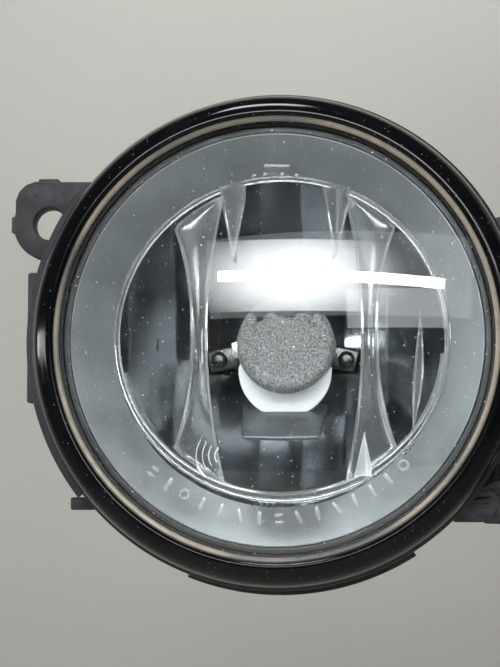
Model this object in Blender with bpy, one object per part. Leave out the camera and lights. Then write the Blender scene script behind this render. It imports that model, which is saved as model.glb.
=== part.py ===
"""Round front fog light: a tilting lamp unit in a mounting carrier, with an aiming screw and a bayonet bulb.

Frame, in metres: the optical axis is the Y axis, the lens looks towards -Y, +X is to the right seen from the
front and +Z is up. Y = 0 is the plane of the two mounting ears' front faces.
"""

from math import cos, pi, radians, sin, sqrt

import bmesh
import bpy
from mathutils import Matrix, Vector

# ---- driving dimensions -------------------------------------------------------------------------------------
GAP = 0.0003                    # between pieces that touch

LENS_RADIUS = 0.0446
LENS_EDGE_Y = -0.0215           # front surface of the glass at its rim
LENS_SAG = 0.0060               # how far the crown stands in front of the rim
LENS_WALL = 0.0030
LENS_PAD = 0.0014               # extra glass behind the patterned middle
PATTERN_RADIUS = 0.0335         # edge of the patterned middle
FLUTES = ((0.0165, 0.0065, -0.02275), (0.0100, 0.0022, -0.02208))   # offset in x, radius, deepest y

FOCAL_LENGTH = 0.014            # of the reflector's paraboloid
REFLECTOR_VERTEX_Y = 0.0106
BOWL_RADIUS = 0.0340            # where the bright bowl meets the satin cone
CONE_RADIUS = 0.0410
CONE_Y = -0.0184
REFLECTOR_WALL = 0.0013
REFLECTOR_NECK = (0.0106, 0.0119, 0.0155)        # inner radius, outer radius, rear end y
HOUSING_OFFSETS = (0.0020, 0.0042)               # the housing's inside and outside, behind the bowl

BEZEL_INNER = 0.0438
BEZEL_OUTER = 0.0512
FLANGE_RADIUS = 0.0465          # housing flange that the bezel snaps over
FLANGE_FRONT_Y = -0.0179
FLANGE_REAR_Y = -0.0137
GASKET_Y = (-0.0185, -0.0167)

NECK_RADIUS = 0.0170
NECK_FRONT_Y = 0.0100
NECK_WALL_Y = (0.0220, 0.0250)  # the wall that the bulb locks behind
BULB_BORE = 0.0100
LUG_CAVITY = 0.0136
LUG_ANGLES = (90, 205, 335)
LUG_HALF_WIDTHS = (17, 17, 24)
LUG_TURN = 45                   # degrees from locked to free

PIVOT_Y = 0.0030               # the pivot axis lies along x through this y, at z = 0
TRUNNION_RADIUS = 0.0050
TRUNNION_SHOULDER_X = 0.0498
PIN_RADIUS = 0.0030
PIN_END_X = 0.0534

RING_INNER, RING_OUTER = 0.0450, 0.0482
RING_Y = (-0.0075, 0.0030)
CHEEK_X = (0.0509, 0.0537)
CHEEK_LOW_Z = -0.0125
CHEEK_TOP_Z = {-1: 0.0153, 1: 0.0095}            # the right one is low, to let the adjuster arm pass
CHEEK_REAR_Y = 0.0095
EAR_Y = (0.0, 0.0035)
EAR_HOLE_RADIUS = 0.00345
LEFT_EAR = (-0.0506, 0.0268)    # x, z of the hole
RIGHT_EAR = (0.0550, -0.0288)
EAR_RADIUS = 0.0080

SCREW_X, SCREW_Z = 0.0525, 0.0210
SCREW_RADIUS = 0.0025
SCREW_Y = (-0.0046, 0.0185)
ARM_Y = (0.0088, 0.0118)
WAIST = 0.0080                  # square waist of the adjuster nut
NUT_FLANGE_RADIUS = 0.0062

FILAMENT_Y = REFLECTOR_VERTEX_Y - FOCAL_LENGTH
SHIELD_RADIUS = 0.0099
SHIELD_FRONT_Y = -0.0179
SHIELD_RIM_Y = -0.0095
SHEET = 0.0008                  # sheet metal thickness
LEG_ANGLES = (192, 348)
RIVET_RADIUS_AT = 0.0140        # distance of the rivets from the optical axis
FOOT_Y = 0.0045                 # front face of the shield's feet
RIVET_END_Y = 0.0086

# ---- materials: name -> colour, roughness, metallic -----------------------------------------------------------
MATERIALS = {
    "gloss_black": ((0.012, 0.013, 0.016, 1), 0.12, 0.0),
    "matte_black": ((0.040, 0.042, 0.046, 1), 0.60, 0.0),
    "glass": ((0.80, 0.86, 0.88, 1), 0.02, 0.0),
    "mirror": ((0.82, 0.84, 0.86, 1), 0.08, 1.0),
    "steel": ((0.62, 0.62, 0.60, 1), 0.35, 1.0),
    "shield_grey": ((0.36, 0.37, 0.38, 1), 0.60, 0.6),
    "rubber": ((0.020, 0.020, 0.022, 1), 0.80, 0.0),
    "nylon": ((0.78, 0.77, 0.70, 1), 0.45, 0.0),
    "tungsten": ((0.30, 0.30, 0.32, 1), 0.40, 1.0),
    "seal_orange": ((0.55, 0.16, 0.05, 1), 0.60, 0.0),
}


def clear_scene():
    for obj in list(bpy.data.objects):
        bpy.data.objects.remove(obj)


def material(name):
    """The named Principled material, made the first time that it is asked for."""
    found = bpy.data.materials.get(name)
    if found:
        return found
    colour, roughness, metallic = MATERIALS[name]
    made = bpy.data.materials.new(name)
    made.use_nodes = True
    shader = made.node_tree.nodes["Principled BSDF"]
    shader.inputs["Base Color"].default_value = colour
    shader.inputs["Roughness"].default_value = roughness
    shader.inputs["Metallic"].default_value = metallic
    made.diffuse_color = colour
    return made


def add_object(name, bm, material_name="matte_black"):
    """Puts a bmesh in the scene as an object with outward normals."""
    bmesh.ops.remove_doubles(bm, verts=bm.verts, dist=1e-7)
    bmesh.ops.recalc_face_normals(bm, faces=bm.faces)
    mesh = bpy.data.meshes.new(name)
    bm.to_mesh(mesh)
    bm.free()
    mesh.materials.append(material(material_name))
    mesh.shade_smooth()
    mesh.set_sharp_from_angle(angle=radians(35))
    obj = bpy.data.objects.new(name, mesh)
    bpy.context.collection.objects.link(obj)
    return obj


def lathe(name, outline, material_name="matte_black", segments=48, turn=None, at=(0, 0, 0)):
    """Turns an outline of (radius, y) points about the Y axis. It is closed, unless both its ends are on the axis.
    turn is a matrix that lays the axis another way, and at is where the axis's origin goes."""
    bm = bmesh.new()
    points = [bm.verts.new((radius, y, 0)) for radius, y in outline]
    on_axis = outline[0][0] == 0 and outline[-1][0] == 0
    ends = points[1:] if on_axis else points[1:] + points[:1]
    edges = [bm.edges.new(pair) for pair in zip(points, ends)]
    bmesh.ops.spin(bm, geom=points + edges, axis=(0, 1, 0), cent=(0, 0, 0), angle=2 * pi,
                   steps=segments, use_merge=True)
    bmesh.ops.remove_doubles(bm, verts=bm.verts, dist=1e-7)
    if turn:
        bmesh.ops.transform(bm, matrix=turn, verts=bm.verts)
    bmesh.ops.translate(bm, vec=at, verts=bm.verts)
    return add_object(name, bm, material_name)


ALONG_X = Matrix.Rotation(radians(-90), 4, "Z")      # lays a lathe's Y axis along +X
ALONG_Z = Matrix.Rotation(radians(90), 4, "X")       # lays a lathe's Y axis along +Z


def rod(name, radius, start, end, material_name="matte_black", segments=24, turn=None, at=(0, 0, 0)):
    """A plain cylinder along Y from start to end."""
    outline = [(0, start), (radius, start), (radius, end), (0, end)]
    return lathe(name, outline, material_name, segments, turn, at)


def tube(name, inner, outer, start, end, material_name="matte_black", segments=48, turn=None, at=(0, 0, 0)):
    outline = [(inner, start), (outer, start), (outer, end), (inner, end)]
    return lathe(name, outline, material_name, segments, turn, at)


def block(name, x, y, z, material_name="matte_black", turn=None, at=(0, 0, 0)):
    """A box between the given (low, high) pairs, then turned by a matrix and moved."""
    bm = bmesh.new()
    bmesh.ops.create_cube(bm, size=1)
    size = Matrix.Diagonal((x[1] - x[0], y[1] - y[0], z[1] - z[0], 1))
    centre = Matrix.Translation(((x[0] + x[1]) / 2, (y[0] + y[1]) / 2, (z[0] + z[1]) / 2))
    bmesh.ops.transform(bm, matrix=centre @ size, verts=bm.verts)
    if turn:
        bmesh.ops.transform(bm, matrix=turn, verts=bm.verts)
    bmesh.ops.translate(bm, vec=at, verts=bm.verts)
    return add_object(name, bm, material_name)


def plate(name, outline, y, material_name="matte_black"):
    """Extrudes a closed outline of (x, z) points from y[0] to y[1]."""
    bm = bmesh.new()
    front = [bm.verts.new((px, y[0], pz)) for px, pz in outline]
    face = bm.faces.new(front)
    grown = bmesh.ops.extrude_face_region(bm, geom=[face])
    moved = [item for item in grown["geom"] if isinstance(item, bmesh.types.BMVert)]
    bmesh.ops.translate(bm, vec=(0, y[1] - y[0], 0), verts=moved)
    return add_object(name, bm, material_name)


def tidied(mesh):
    """Welds the slivers that a Boolean leaves."""
    bm = bmesh.new()
    bm.from_mesh(mesh)
    bmesh.ops.remove_doubles(bm, verts=bm.verts, dist=2e-6)
    bmesh.ops.dissolve_degenerate(bm, dist=1e-6, edges=bm.edges)
    bm.to_mesh(mesh)
    bm.free()
    return mesh


def combine(target, tool, operation):
    """Applies a Boolean of tool to target, and removes the tool."""
    change = target.modifiers.new(operation.lower(), "BOOLEAN")
    change.operation = operation
    change.object = tool
    bpy.context.view_layer.update()
    evaluated = target.evaluated_get(bpy.context.evaluated_depsgraph_get())
    made = bpy.data.meshes.new_from_object(evaluated)
    target.modifiers.remove(change)
    target.data = tidied(made)
    bpy.data.objects.remove(tool)
    return target


def join(target, *tools):
    for tool in tools:
        combine(target, tool, "UNION")
    return target


def cut(target, *tools):
    for tool in tools:
        combine(target, tool, "DIFFERENCE")
    return target


def about_axis(degrees):
    """A turn about the optical axis, from +X towards +Z."""
    return Matrix.Rotation(radians(-degrees), 4, "Y")


def around(radius, degrees):
    """(x, z) at a distance and an angle round the optical axis."""
    return radius * cos(radians(degrees)), radius * sin(radians(degrees))


def arc(centre, radius, start, end, steps):
    """Points of an arc of degrees in the (x, z) plane."""
    angles = [start + (end - start) * step / steps for step in range(steps + 1)]
    return [(centre[0] + dx, centre[1] + dz) for dx, dz in (around(radius, a) for a in angles)]


def sector(name, inner, outer, start, end, y, steps=6):
    """A ring's segment between two angles."""
    outline = arc((0, 0), outer, start, end, steps) + arc((0, 0), inner, end, start, steps)
    return plate(name, outline, y)


# ---- shapes that several pieces share -------------------------------------------------------------------------
def lens_front(radius):
    """Y of the glass's front surface, a shallow sphere."""
    sphere = (LENS_RADIUS**2 + LENS_SAG**2) / (2 * LENS_SAG)
    return LENS_EDGE_Y + sqrt(sphere**2 - LENS_RADIUS**2) - sqrt(sphere**2 - radius**2)


def bowl(radius, offset=0.0):
    """(radius, y) of the paraboloid, moved outwards along its normal."""
    slope = radius / (2 * FOCAL_LENGTH)
    length = sqrt(1 + slope**2)
    y = REFLECTOR_VERTEX_Y - radius**2 / (4 * FOCAL_LENGTH)
    return radius + offset * slope / length, y + offset / length


def bowl_curve(first, last, offset, steps):
    return [bowl(first + (last - first) * step / steps, offset) for step in range(steps + 1)]


# ---- lamp unit ------------------------------------------------------------------------------------------------
def make_lens():
    steps = 6
    front = [(LENS_RADIUS * step / steps, lens_front(LENS_RADIUS * step / steps)) for step in range(steps + 1)]
    edge = [(LENS_RADIUS, LENS_EDGE_Y + LENS_WALL)]
    rim = [(radius, lens_front(radius) + LENS_WALL) for radius in (0.0390, PATTERN_RADIUS)]
    pad_radii = [PATTERN_RADIUS - 0.0002] + [PATTERN_RADIUS * share for share in (0.8, 0.55, 0.28, 0)]
    pad = [(radius, lens_front(radius) + LENS_WALL + LENS_PAD) for radius in pad_radii]
    lens = lathe("lens", front + edge + rim + pad, "glass", segments=48)
    for offset, radius, deepest in FLUTES:
        for side in (-1, 1):
            flute = rod("flute", radius, -0.040, 0.040, segments=32, turn=ALONG_Z,
                        at=(side * offset, deepest + radius, 0))
            combine(flute, rod("zone", PATTERN_RADIUS - 0.0005, -0.030, 0, segments=48), "INTERSECT")
            cut(lens, flute)
    return lens


def make_bezel():
    outline = [
        (BEZEL_INNER, -0.02205), (BEZEL_INNER, -0.02260), (0.0445, -0.02325), (0.0460, -0.02315),
        (0.0478, -0.02215), (0.0492, -0.02000), (0.0501, -0.01700), (0.0504, -0.01490),
        (0.0508, -0.01465), (BEZEL_OUTER, -0.01410), (BEZEL_OUTER, -0.01230), (0.0504, -0.01170),
        (0.0504, -0.01120), (0.0489, -0.01120), (0.0480, -0.01400), (0.0476, -0.01720),
        (0.0470, -0.01990), (0.0458, -0.02140), (0.0453, -0.02205),
    ]
    bezel = lathe("bezel_ring", outline, "gloss_black", segments=60)
    for angle in (45, 135, 225, 315):
        join(bezel, block("hook", (0.0458, 0.0496), (FLANGE_REAR_Y + GAP, -0.0117), (-0.004, 0.004),
                          turn=about_axis(angle)))
    join(bezel, sector("flange_wing", 0.0500, 0.0524, 145, 218, (-0.0140, -0.0123), steps=16))
    return bezel


def make_gasket():
    return tube("lens_gasket", 0.0434, 0.0444, *GASKET_Y, "rubber", segments=48)


def housing_shell():
    """The bowl-shaped shell: flange, gasket groove, bowl and bulb neck."""
    inside, outside = HOUSING_OFFSETS
    front = [(FLANGE_RADIUS, FLANGE_FRONT_Y), (0.0450, FLANGE_FRONT_Y), (0.0450, GASKET_Y[1] + GAP),
             (0.0432, GASKET_Y[1] + GAP), (0.0432, FLANGE_FRONT_Y), (0.0418, FLANGE_FRONT_Y), (0.0418, -0.0165)]
    inner = bowl_curve(BOWL_RADIUS, 0.0132, inside, 6)
    cavity = [(LUG_CAVITY, 0.0100), (LUG_CAVITY, NECK_WALL_Y[0]), (BULB_BORE, NECK_WALL_Y[0]),
              (BULB_BORE, NECK_WALL_Y[1]), (NECK_RADIUS, NECK_WALL_Y[1]), (NECK_RADIUS, NECK_FRONT_Y)]
    outer = bowl_curve(0.0170, BOWL_RADIUS, outside, 5)
    rear = [(0.0424, FLANGE_REAR_Y), (FLANGE_RADIUS, FLANGE_REAR_Y)]
    return lathe("housing", front + inner + cavity + outer + rear, "matte_black", segments=44)


def trunnion(side):
    """A side boss with its pivot pin, along X."""
    reach = [(0, 0.0295), (TRUNNION_RADIUS, 0.0295), (TRUNNION_RADIUS, TRUNNION_SHOULDER_X),
             (PIN_RADIUS, TRUNNION_SHOULDER_X), (PIN_RADIUS, PIN_END_X), (0, PIN_END_X)]
    turn = ALONG_X if side > 0 else Matrix.Rotation(pi, 4, "Z") @ ALONG_X
    boss = lathe("trunnion", reach, segments=28, turn=turn, at=(0, PIVOT_Y, 0))
    x = sorted((side * 0.0240, side * 0.0310))
    foot = block("foot", x, (PIVOT_Y - 0.0010, PIVOT_Y + 0.0045), (-0.0050, 0.0050))
    return join(boss, foot)


def adjuster_arm():
    """The lever from the housing to the aiming screw, ending in a fork that is open upwards."""
    prong = 0.0030
    fork_x = (SCREW_X - WAIST / 2 - GAP - prong, SCREW_X + WAIST / 2 + GAP + prong)
    arm = plate("arm", [(0.0120, 0.0110), (0.0152, 0.0058), (0.0450, 0.0114), (fork_x[1], 0.0122),
                        (fork_x[1], SCREW_Z + 0.0050), (fork_x[0], SCREW_Z + 0.0050),
                        (fork_x[0], SCREW_Z - 0.0040)], ARM_Y)
    web = plate("web", [(0.0196, 0.0124), (0.0202, 0.0104), (0.0440, 0.0148), (0.0436, 0.0167)],
                (ARM_Y[0] - 0.0040, ARM_Y[1]))
    slot = block("slot", (SCREW_X - WAIST / 2 - GAP, SCREW_X + WAIST / 2 + GAP), (ARM_Y[0] - 0.01, ARM_Y[1] + 0.01),
                 (SCREW_Z - WAIST / 2 - 0.0006, SCREW_Z + 0.02))
    return cut(join(arm, web), slot)


def rib(angle):
    """A stiffening rib between the neck and the bowl."""
    bm = bmesh.new()
    corners = [(0.0155, 0.0190), (0.0182, 0.0190), (0.0335, -0.0040), (0.0325, -0.0060), (0.0155, 0.0110)]
    face = bm.faces.new([bm.verts.new((radius, y, -0.0008)) for radius, y in corners])
    grown = bmesh.ops.extrude_face_region(bm, geom=[face])
    moved = [item for item in grown["geom"] if isinstance(item, bmesh.types.BMVert)]
    bmesh.ops.translate(bm, vec=(0, 0, 0.0016), verts=moved)
    bmesh.ops.transform(bm, matrix=about_axis(angle), verts=bm.verts)
    return add_object("rib", bm)


def make_housing():
    housing = housing_shell()
    join(housing, trunnion(-1), trunnion(1), adjuster_arm())
    join(housing, *[rib(angle) for angle in (75, 120, 225, 270, 315)])
    spigot = rod("spigot", 0.0026, 0.0158, 0.0235, turn=ALONG_Z, at=(0, 0.0165, 0), segments=20)
    vent = rod("vent", 0.0014, 0.0100, 0.0250, turn=ALONG_Z, at=(0, 0.0165, 0), segments=20)
    cut(join(housing, spigot), vent)
    for angle, half in zip(LUG_ANGLES, LUG_HALF_WIDTHS):
        cut(housing, sector("lug_slot", 0.0090, 0.0127, angle + LUG_TURN - half - 2, angle + LUG_TURN + half + 2,
                            (NECK_WALL_Y[0] - 0.001, NECK_WALL_Y[1] + 0.001), steps=4))
    return housing


def rivet_places():
    return [around(RIVET_RADIUS_AT, angle) for angle in LEG_ANGLES]


def make_reflector():
    neck_in, neck_out, neck_end = REFLECTOR_NECK
    inner = [(CONE_RADIUS, CONE_Y)] + bowl_curve(BOWL_RADIUS, neck_in, 0, 9)
    neck = [(neck_in, neck_end), (neck_out, neck_end)]
    outer = bowl_curve(0.0115, BOWL_RADIUS, REFLECTOR_WALL, 7) + [(0.0415, -0.0172), (0.0415, -0.0181)]
    reflector = lathe("reflector", inner + neck + outer, "mirror", segments=44)
    for x, z in rivet_places():
        pad = rod("pad", 0.0027, FOOT_Y + SHEET + GAP, 0.0125, segments=20, at=(x, 0, z))
        core = [(0, -0.030), (BOWL_RADIUS, -0.030)] + bowl_curve(BOWL_RADIUS, 0, REFLECTOR_WALL / 2, 9)
        join(reflector, combine(pad, lathe("core", core, segments=56), "INTERSECT"))
        cut(reflector, rod("hole", 0.0014, 0.0020, 0.0200, segments=16, at=(x, 0, z)))
    return reflector


def shield_leg(angle):
    """A strip from the cup's rim back to a foot on the reflector."""
    turn = about_axis(angle)
    strip = block("strip", (0.0092, 0.0100), (SHIELD_RIM_Y - 0.001, FOOT_Y + SHEET), (-0.0017, 0.0017), turn=turn)
    foot = block("foot", (0.0092, 0.0162), (FOOT_Y, FOOT_Y + SHEET), (-0.0023, 0.0023), turn=turn)
    x, z = around(RIVET_RADIUS_AT, angle)
    return cut(join(strip, foot), rod("hole", 0.0014, 0.0, 0.02, segments=16, at=(x, 0, z)))


def make_shield():
    cup = [(0, SHIELD_FRONT_Y), (0.0091, SHIELD_FRONT_Y), (SHIELD_RADIUS, SHIELD_FRONT_Y + SHEET),
           (SHIELD_RADIUS, SHIELD_RIM_Y), (SHIELD_RADIUS - SHEET, SHIELD_RIM_Y),
           (SHIELD_RADIUS - SHEET, SHIELD_FRONT_Y + SHEET), (0, SHIELD_FRONT_Y + SHEET)]
    shield = lathe("bulb_shield", cup, "shield_grey", segments=40)
    return join(shield, *[shield_leg(angle) for angle in LEG_ANGLES])


def make_rivets():
    head_y = FOOT_Y - GAP
    outline = [(0, head_y - 0.0009), (0.0012, head_y - 0.0008), (0.0020, head_y), (0.0011, head_y),
               (0.0011, RIVET_END_Y), (0, RIVET_END_Y)]
    for name, (x, z) in zip(("shield_rivet_left", "shield_rivet_right"), rivet_places()):
        lathe(name, outline, "steel", segments=20, at=(x, 0, z))


def make_vent_cap():
    """A rubber cap pushed over the housing's breather spigot."""
    bottom, top = 0.0188, 0.0262
    outline = [(0.0029, bottom), (0.0042, bottom), (0.0044, 0.0240), (0.0038, 0.0256), (0.0022, top), (0, top),
               (0, 0.0246), (0.0029, 0.0246)]
    return lathe("vent_cap", outline, "rubber", segments=24, turn=ALONG_Z, at=(0, 0.0165, 0))


# ---- bulb -----------------------------------------------------------------------------------------------------
def make_bulb_base():
    """Plastic base: plug with bayonet lugs, flange, body with grip wings and a connector hood pointing down."""
    plug = [(0, 0.0180), (0.0096, 0.0180), (0.0096, 0.0272), (0.0136, 0.0272), (0.0136, 0.0292), (0, 0.0292)]
    base = lathe("bulb_base", plug, "matte_black", segments=40)
    for angle, half in zip(LUG_ANGLES, LUG_HALF_WIDTHS):
        join(base, sector("lug", 0.0080, 0.0122, angle - half, angle + half, (0.0187, 0.0216), steps=4))
    head = rod("head", 0.0090, 0.0285, 0.0405, segments=32)
    hood = block("hood", (-0.0090, 0.0090), (0.0285, 0.0405), (-0.0245, 0.0))
    wings = block("wings", (-0.0145, 0.0145), (0.0285, 0.0370), (-0.0011, 0.0011))
    latch = block("latch", (-0.0030, 0.0030), (0.0400, 0.0420), (-0.0200, -0.0175))
    join(base, head, hood, wings, latch)
    return cut(base, block("socket", (-0.0074, 0.0074), (0.0302, 0.0388), (-0.03, -0.0100)))


def make_bulb():
    make_bulb_base()
    lathe("bulb_seal", [(0.0112 + 0.00095 * cos(radians(a)), 0.0261 + 0.00095 * sin(radians(a)))
                        for a in range(0, 360, 45)], "seal_orange", segments=40)
    clamp = [(0.0065, 0.0110), (0.0071, 0.0110), (0.0071, 0.0160), (0.0088, 0.0172), (0.0088, 0.0177),
             (0.0066, 0.0177), (0.0065, 0.0160)]
    lathe("bulb_clamp", clamp, "steel", segments=32)
    tip = FILAMENT_Y - 0.0130
    capsule = [(0, tip), (0.0030, tip + 0.0008), (0.0050, tip + 0.0028), (0.0060, tip + 0.0060), (0.0060, 0.0160),
               (0.0050, 0.0160), (0.0050, tip + 0.0064), (0.0040, tip + 0.0034), (0.0024, tip + 0.0018),
               (0, tip + 0.0012)]
    lathe("bulb_glass", capsule, "glass", segments=32)
    rod("filament", 0.0008, FILAMENT_Y - 0.00225, FILAMENT_Y + 0.00225, "tungsten", segments=12)
    make_lead("lead_rear", -0.0018, FILAMENT_Y + 0.00225 + GAP)
    make_lead("lead_front", 0.0030, FILAMENT_Y - 0.00225 - GAP - 0.0007)
    for name, x in (("terminal_left", -0.0029), ("terminal_right", 0.0029)):
        block(name, (x - 0.0004, x + 0.0004), (0.0331, 0.0359), (-0.0190, -0.0100 - GAP), "steel")


def make_lead(name, x, end_y):
    """A support wire along the capsule that turns in to the filament's axis."""
    wire = rod(name, 0.00035, end_y, 0.0175, "tungsten", segments=8, at=(x, 0, 0))
    side = 1 if x > 0 else -1
    cross = block("cross", sorted((side * -0.0004, x + side * 0.0003)), (end_y, end_y + 0.0007), (-0.0003, 0.0003))
    return join(wire, cross)


# ---- carrier --------------------------------------------------------------------------------------------------
def ear(hole, side):
    """A lug round a mounting hole, with one straight flank. side is -1 on the left and 1 on the right."""
    around_hole = [(hole[0] - side * dx, hole[1] - side * dz) for dx, dz in
                   arc((0, 0), EAR_RADIUS, 100, 285, 14)]
    root = [around(0.0466, angle + (180 if side > 0 else 0)) for angle in (162, 137)]
    flank = [(hole[0] - side * dx, hole[1] - side * dz) for dx, dz in ((0.0120, 0.0091), (-0.0010, 0.0095))]
    return plate("ear", around_hole + root + flank, EAR_Y)


def cheek(side):
    """A side wall for the pivot, joined to the ring."""
    x = sorted((side * 0.0462, side * CHEEK_X[1]))
    return block("cheek", x, (RING_Y[0], CHEEK_REAR_Y), (CHEEK_LOW_Z, CHEEK_TOP_Z[side]))


def cheek_pocket(side):
    """The room for the trunnion inside a cheek, open at the back."""
    x = sorted((side * 0.0400, side * CHEEK_X[0]))
    return block("pocket", x, (-0.0035, 0.0200), (-0.0068, 0.0068))


def adjuster_bracket():
    """The plate that carries the aiming screw."""
    outline = arc((SCREW_X, SCREW_Z), 0.0070, -75, 105, 10) + [around(0.0466, 34), around(0.0466, 13)]
    return plate("bracket", outline, (0.0, 0.0030))


def right_plate():
    """The lower right plate round the second ear, with a stepped lower edge and a U-shaped groove."""
    steps = [(0.0366, -0.0376), (0.0434, -0.0376), (0.0434, -0.0369), (0.0550, -0.0369), (0.0565, -0.0165),
             (0.0450, -0.0090), (0.0310, -0.0345)]
    body = plate("right_plate", steps, (0.0, 0.0030))
    middle, outer, inner, end_x = (0.0437, -0.0330), 0.0017, 0.0010, 0.0400
    ends = [(end_x, middle[1] + outer), (end_x, middle[1] + inner)]
    other_ends = [(end_x, middle[1] - inner), (end_x, middle[1] - outer)]
    groove = plate("groove", arc(middle, outer, -90, 90, 6) + ends + arc(middle, inner, 90, -90, 6) + other_ends,
                   (-0.001, 0.0012))
    return cut(body, groove)


def make_carrier():
    """One moulding: ring, two ears, two pivot cheeks, the screw's bracket and small locating features."""
    carrier = tube("carrier", RING_INNER, RING_OUTER, *RING_Y, "matte_black", segments=64)
    join(carrier, cheek(-1), cheek(1), adjuster_bracket(), right_plate(), ear(LEFT_EAR, -1), ear(RIGHT_EAR, 1))
    join(carrier, sector("lip", 0.0470, 0.0525, 248.5, 302.5, (RING_Y[0], 0.0), steps=10))
    join(carrier, block("tab", (-0.0455, -0.0325), (0.0, 0.0060), (-0.0352, -0.0325)))
    join(carrier, sector("nib", 0.0470, 0.0540, 201.5, 204.5, (-0.0040, 0.0010), steps=1))
    join(carrier, block("left_web", (-0.0513, -0.0415), (-0.0020, 0.0028), (-0.0180, -0.0105)))
    pivot_hole = rod("pivot_hole", 0.0046, -0.060, 0.060, segments=28, turn=ALONG_X, at=(0, PIVOT_Y, 0))
    cut(carrier, cheek_pocket(-1), cheek_pocket(1), pivot_hole)
    for x, z in (LEFT_EAR, RIGHT_EAR):
        cut(carrier, rod("hole", EAR_HOLE_RADIUS, -0.01, 0.01, segments=32, at=(x, 0, z)))
    cut(carrier, rod("screw_hole", 0.0029, -0.01, 0.01, segments=24, at=(SCREW_X, 0, SCREW_Z)))
    return carrier


def make_bushes():
    """Flanged bushes in the cheeks, which the trunnion pins turn in."""
    outline = [(0.0032, 0.0501), (0.0056, 0.0501), (0.0056, CHEEK_X[0] - GAP), (0.0043, CHEEK_X[0] - GAP),
               (0.0043, 0.0536), (0.0032, 0.0536)]
    for name, turn in (("pivot_bush_right", ALONG_X), ("pivot_bush_left", Matrix.Rotation(pi, 4, "Z") @ ALONG_X)):
        lathe(name, outline, "nylon", segments=28, turn=turn, at=(0, PIVOT_Y, 0))


# ---- aiming screw ---------------------------------------------------------------------------------------------
def make_adjuster():
    at = (SCREW_X, 0, SCREW_Z)
    screw = rod("adjuster_screw", SCREW_RADIUS, *SCREW_Y, "steel", segments=24, at=at)
    cut(screw, rod("drive", 0.0014, SCREW_Y[0] - 0.001, SCREW_Y[0] + 0.0022, segments=6, at=at))
    knob = tube("adjuster_knob", 0.0028, 0.0050, -0.0056, -0.0003, "nylon", segments=24, at=at)
    for step in range(8):
        x, z = around(0.0050, 45 * step)
        join(knob, rod("tooth", 0.0011, -0.0050, -0.0009, segments=8, at=(SCREW_X + x, 0, SCREW_Z + z)))
    tube("adjuster_retainer", 0.0028, 0.0043, 0.0033, 0.0041, "steel", segments=24, at=at)
    make_nut(at)


def make_nut(at):
    """A spool with a square waist that the fork of the housing's arm holds."""
    middle = (ARM_Y[0] + ARM_Y[1]) / 2
    half_gap = (ARM_Y[1] - ARM_Y[0]) / 2 + 0.00045
    half = WAIST / 2
    nut = block("adjuster_nut", (-half, half), (middle - half_gap - 0.0002, middle + half_gap + 0.0002), (-half, half),
                "nylon", at=at)
    for near, far in ((middle - half_gap - 0.0012, middle - half_gap), (middle + half_gap, middle + half_gap + 0.0012)):
        join(nut, rod("flange", NUT_FLANGE_RADIUS, near, far, "nylon", segments=28, at=at))
    return cut(nut, rod("bore", SCREW_RADIUS + GAP, -0.01, 0.03, segments=24, at=at))


# ---- assembly -------------------------------------------------------------------------------------------------
BULB_PIECES = ("bulb_base", "bulb_seal", "bulb_clamp", "bulb_glass", "filament", "lead_front", "lead_rear",
               "terminal_left", "terminal_right")
UNIT_PIECES = ("bezel_ring", "lens", "lens_gasket", "housing", "reflector", "bulb_shield", "shield_rivet_left",
               "shield_rivet_right", "vent_cap")
ADJUSTER_PIECES = ("adjuster_screw", "adjuster_knob", "adjuster_retainer")


def group(name, at, pieces, parent=None):
    """Parents pieces to an empty that stands on their joint's axis."""
    empty = bpy.data.objects.new(name, None)
    bpy.context.collection.objects.link(empty)
    empty.location = Vector(at) - (parent.location if parent else Vector())
    empty.parent = parent
    for piece in pieces:
        obj = bpy.data.objects[piece]
        obj.parent = empty
        obj.location = -Vector(at)
    return empty


def assemble():
    unit = group("lamp_unit_pivot", (0, PIVOT_Y, 0), UNIT_PIECES)
    group("bulb_axis", (0, NECK_WALL_Y[0], 0), BULB_PIECES, parent=unit)
    group("adjuster_axis", (SCREW_X, 0, SCREW_Z), ADJUSTER_PIECES)
    group("nut_axis", (SCREW_X, (ARM_Y[0] + ARM_Y[1]) / 2, SCREW_Z), ("adjuster_nut",))


def main():
    clear_scene()
    make_carrier()
    make_bushes()
    make_adjuster()
    make_lens()
    make_bezel()
    make_gasket()
    make_housing()
    make_reflector()
    make_shield()
    make_rivets()
    make_vent_cap()
    make_bulb()
    assemble()


main()
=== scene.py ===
"""Looks of a round front fog light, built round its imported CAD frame.

Metres, in the frame's axes: the lens looks towards -Y, +X is to the right seen from the front and +Z is up.
"""

from math import cos, pi, radians, sin, sqrt
from random import Random

import bmesh
import bpy
from mathutils import Matrix, Vector


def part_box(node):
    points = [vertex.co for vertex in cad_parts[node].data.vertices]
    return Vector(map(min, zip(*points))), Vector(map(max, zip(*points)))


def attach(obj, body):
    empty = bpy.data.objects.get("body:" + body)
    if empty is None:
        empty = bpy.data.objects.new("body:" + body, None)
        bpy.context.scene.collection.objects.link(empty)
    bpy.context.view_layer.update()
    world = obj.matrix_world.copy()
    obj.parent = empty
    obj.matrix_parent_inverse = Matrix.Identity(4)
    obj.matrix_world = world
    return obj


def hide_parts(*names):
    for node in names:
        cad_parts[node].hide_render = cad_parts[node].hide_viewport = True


MM = 0.001

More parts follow.
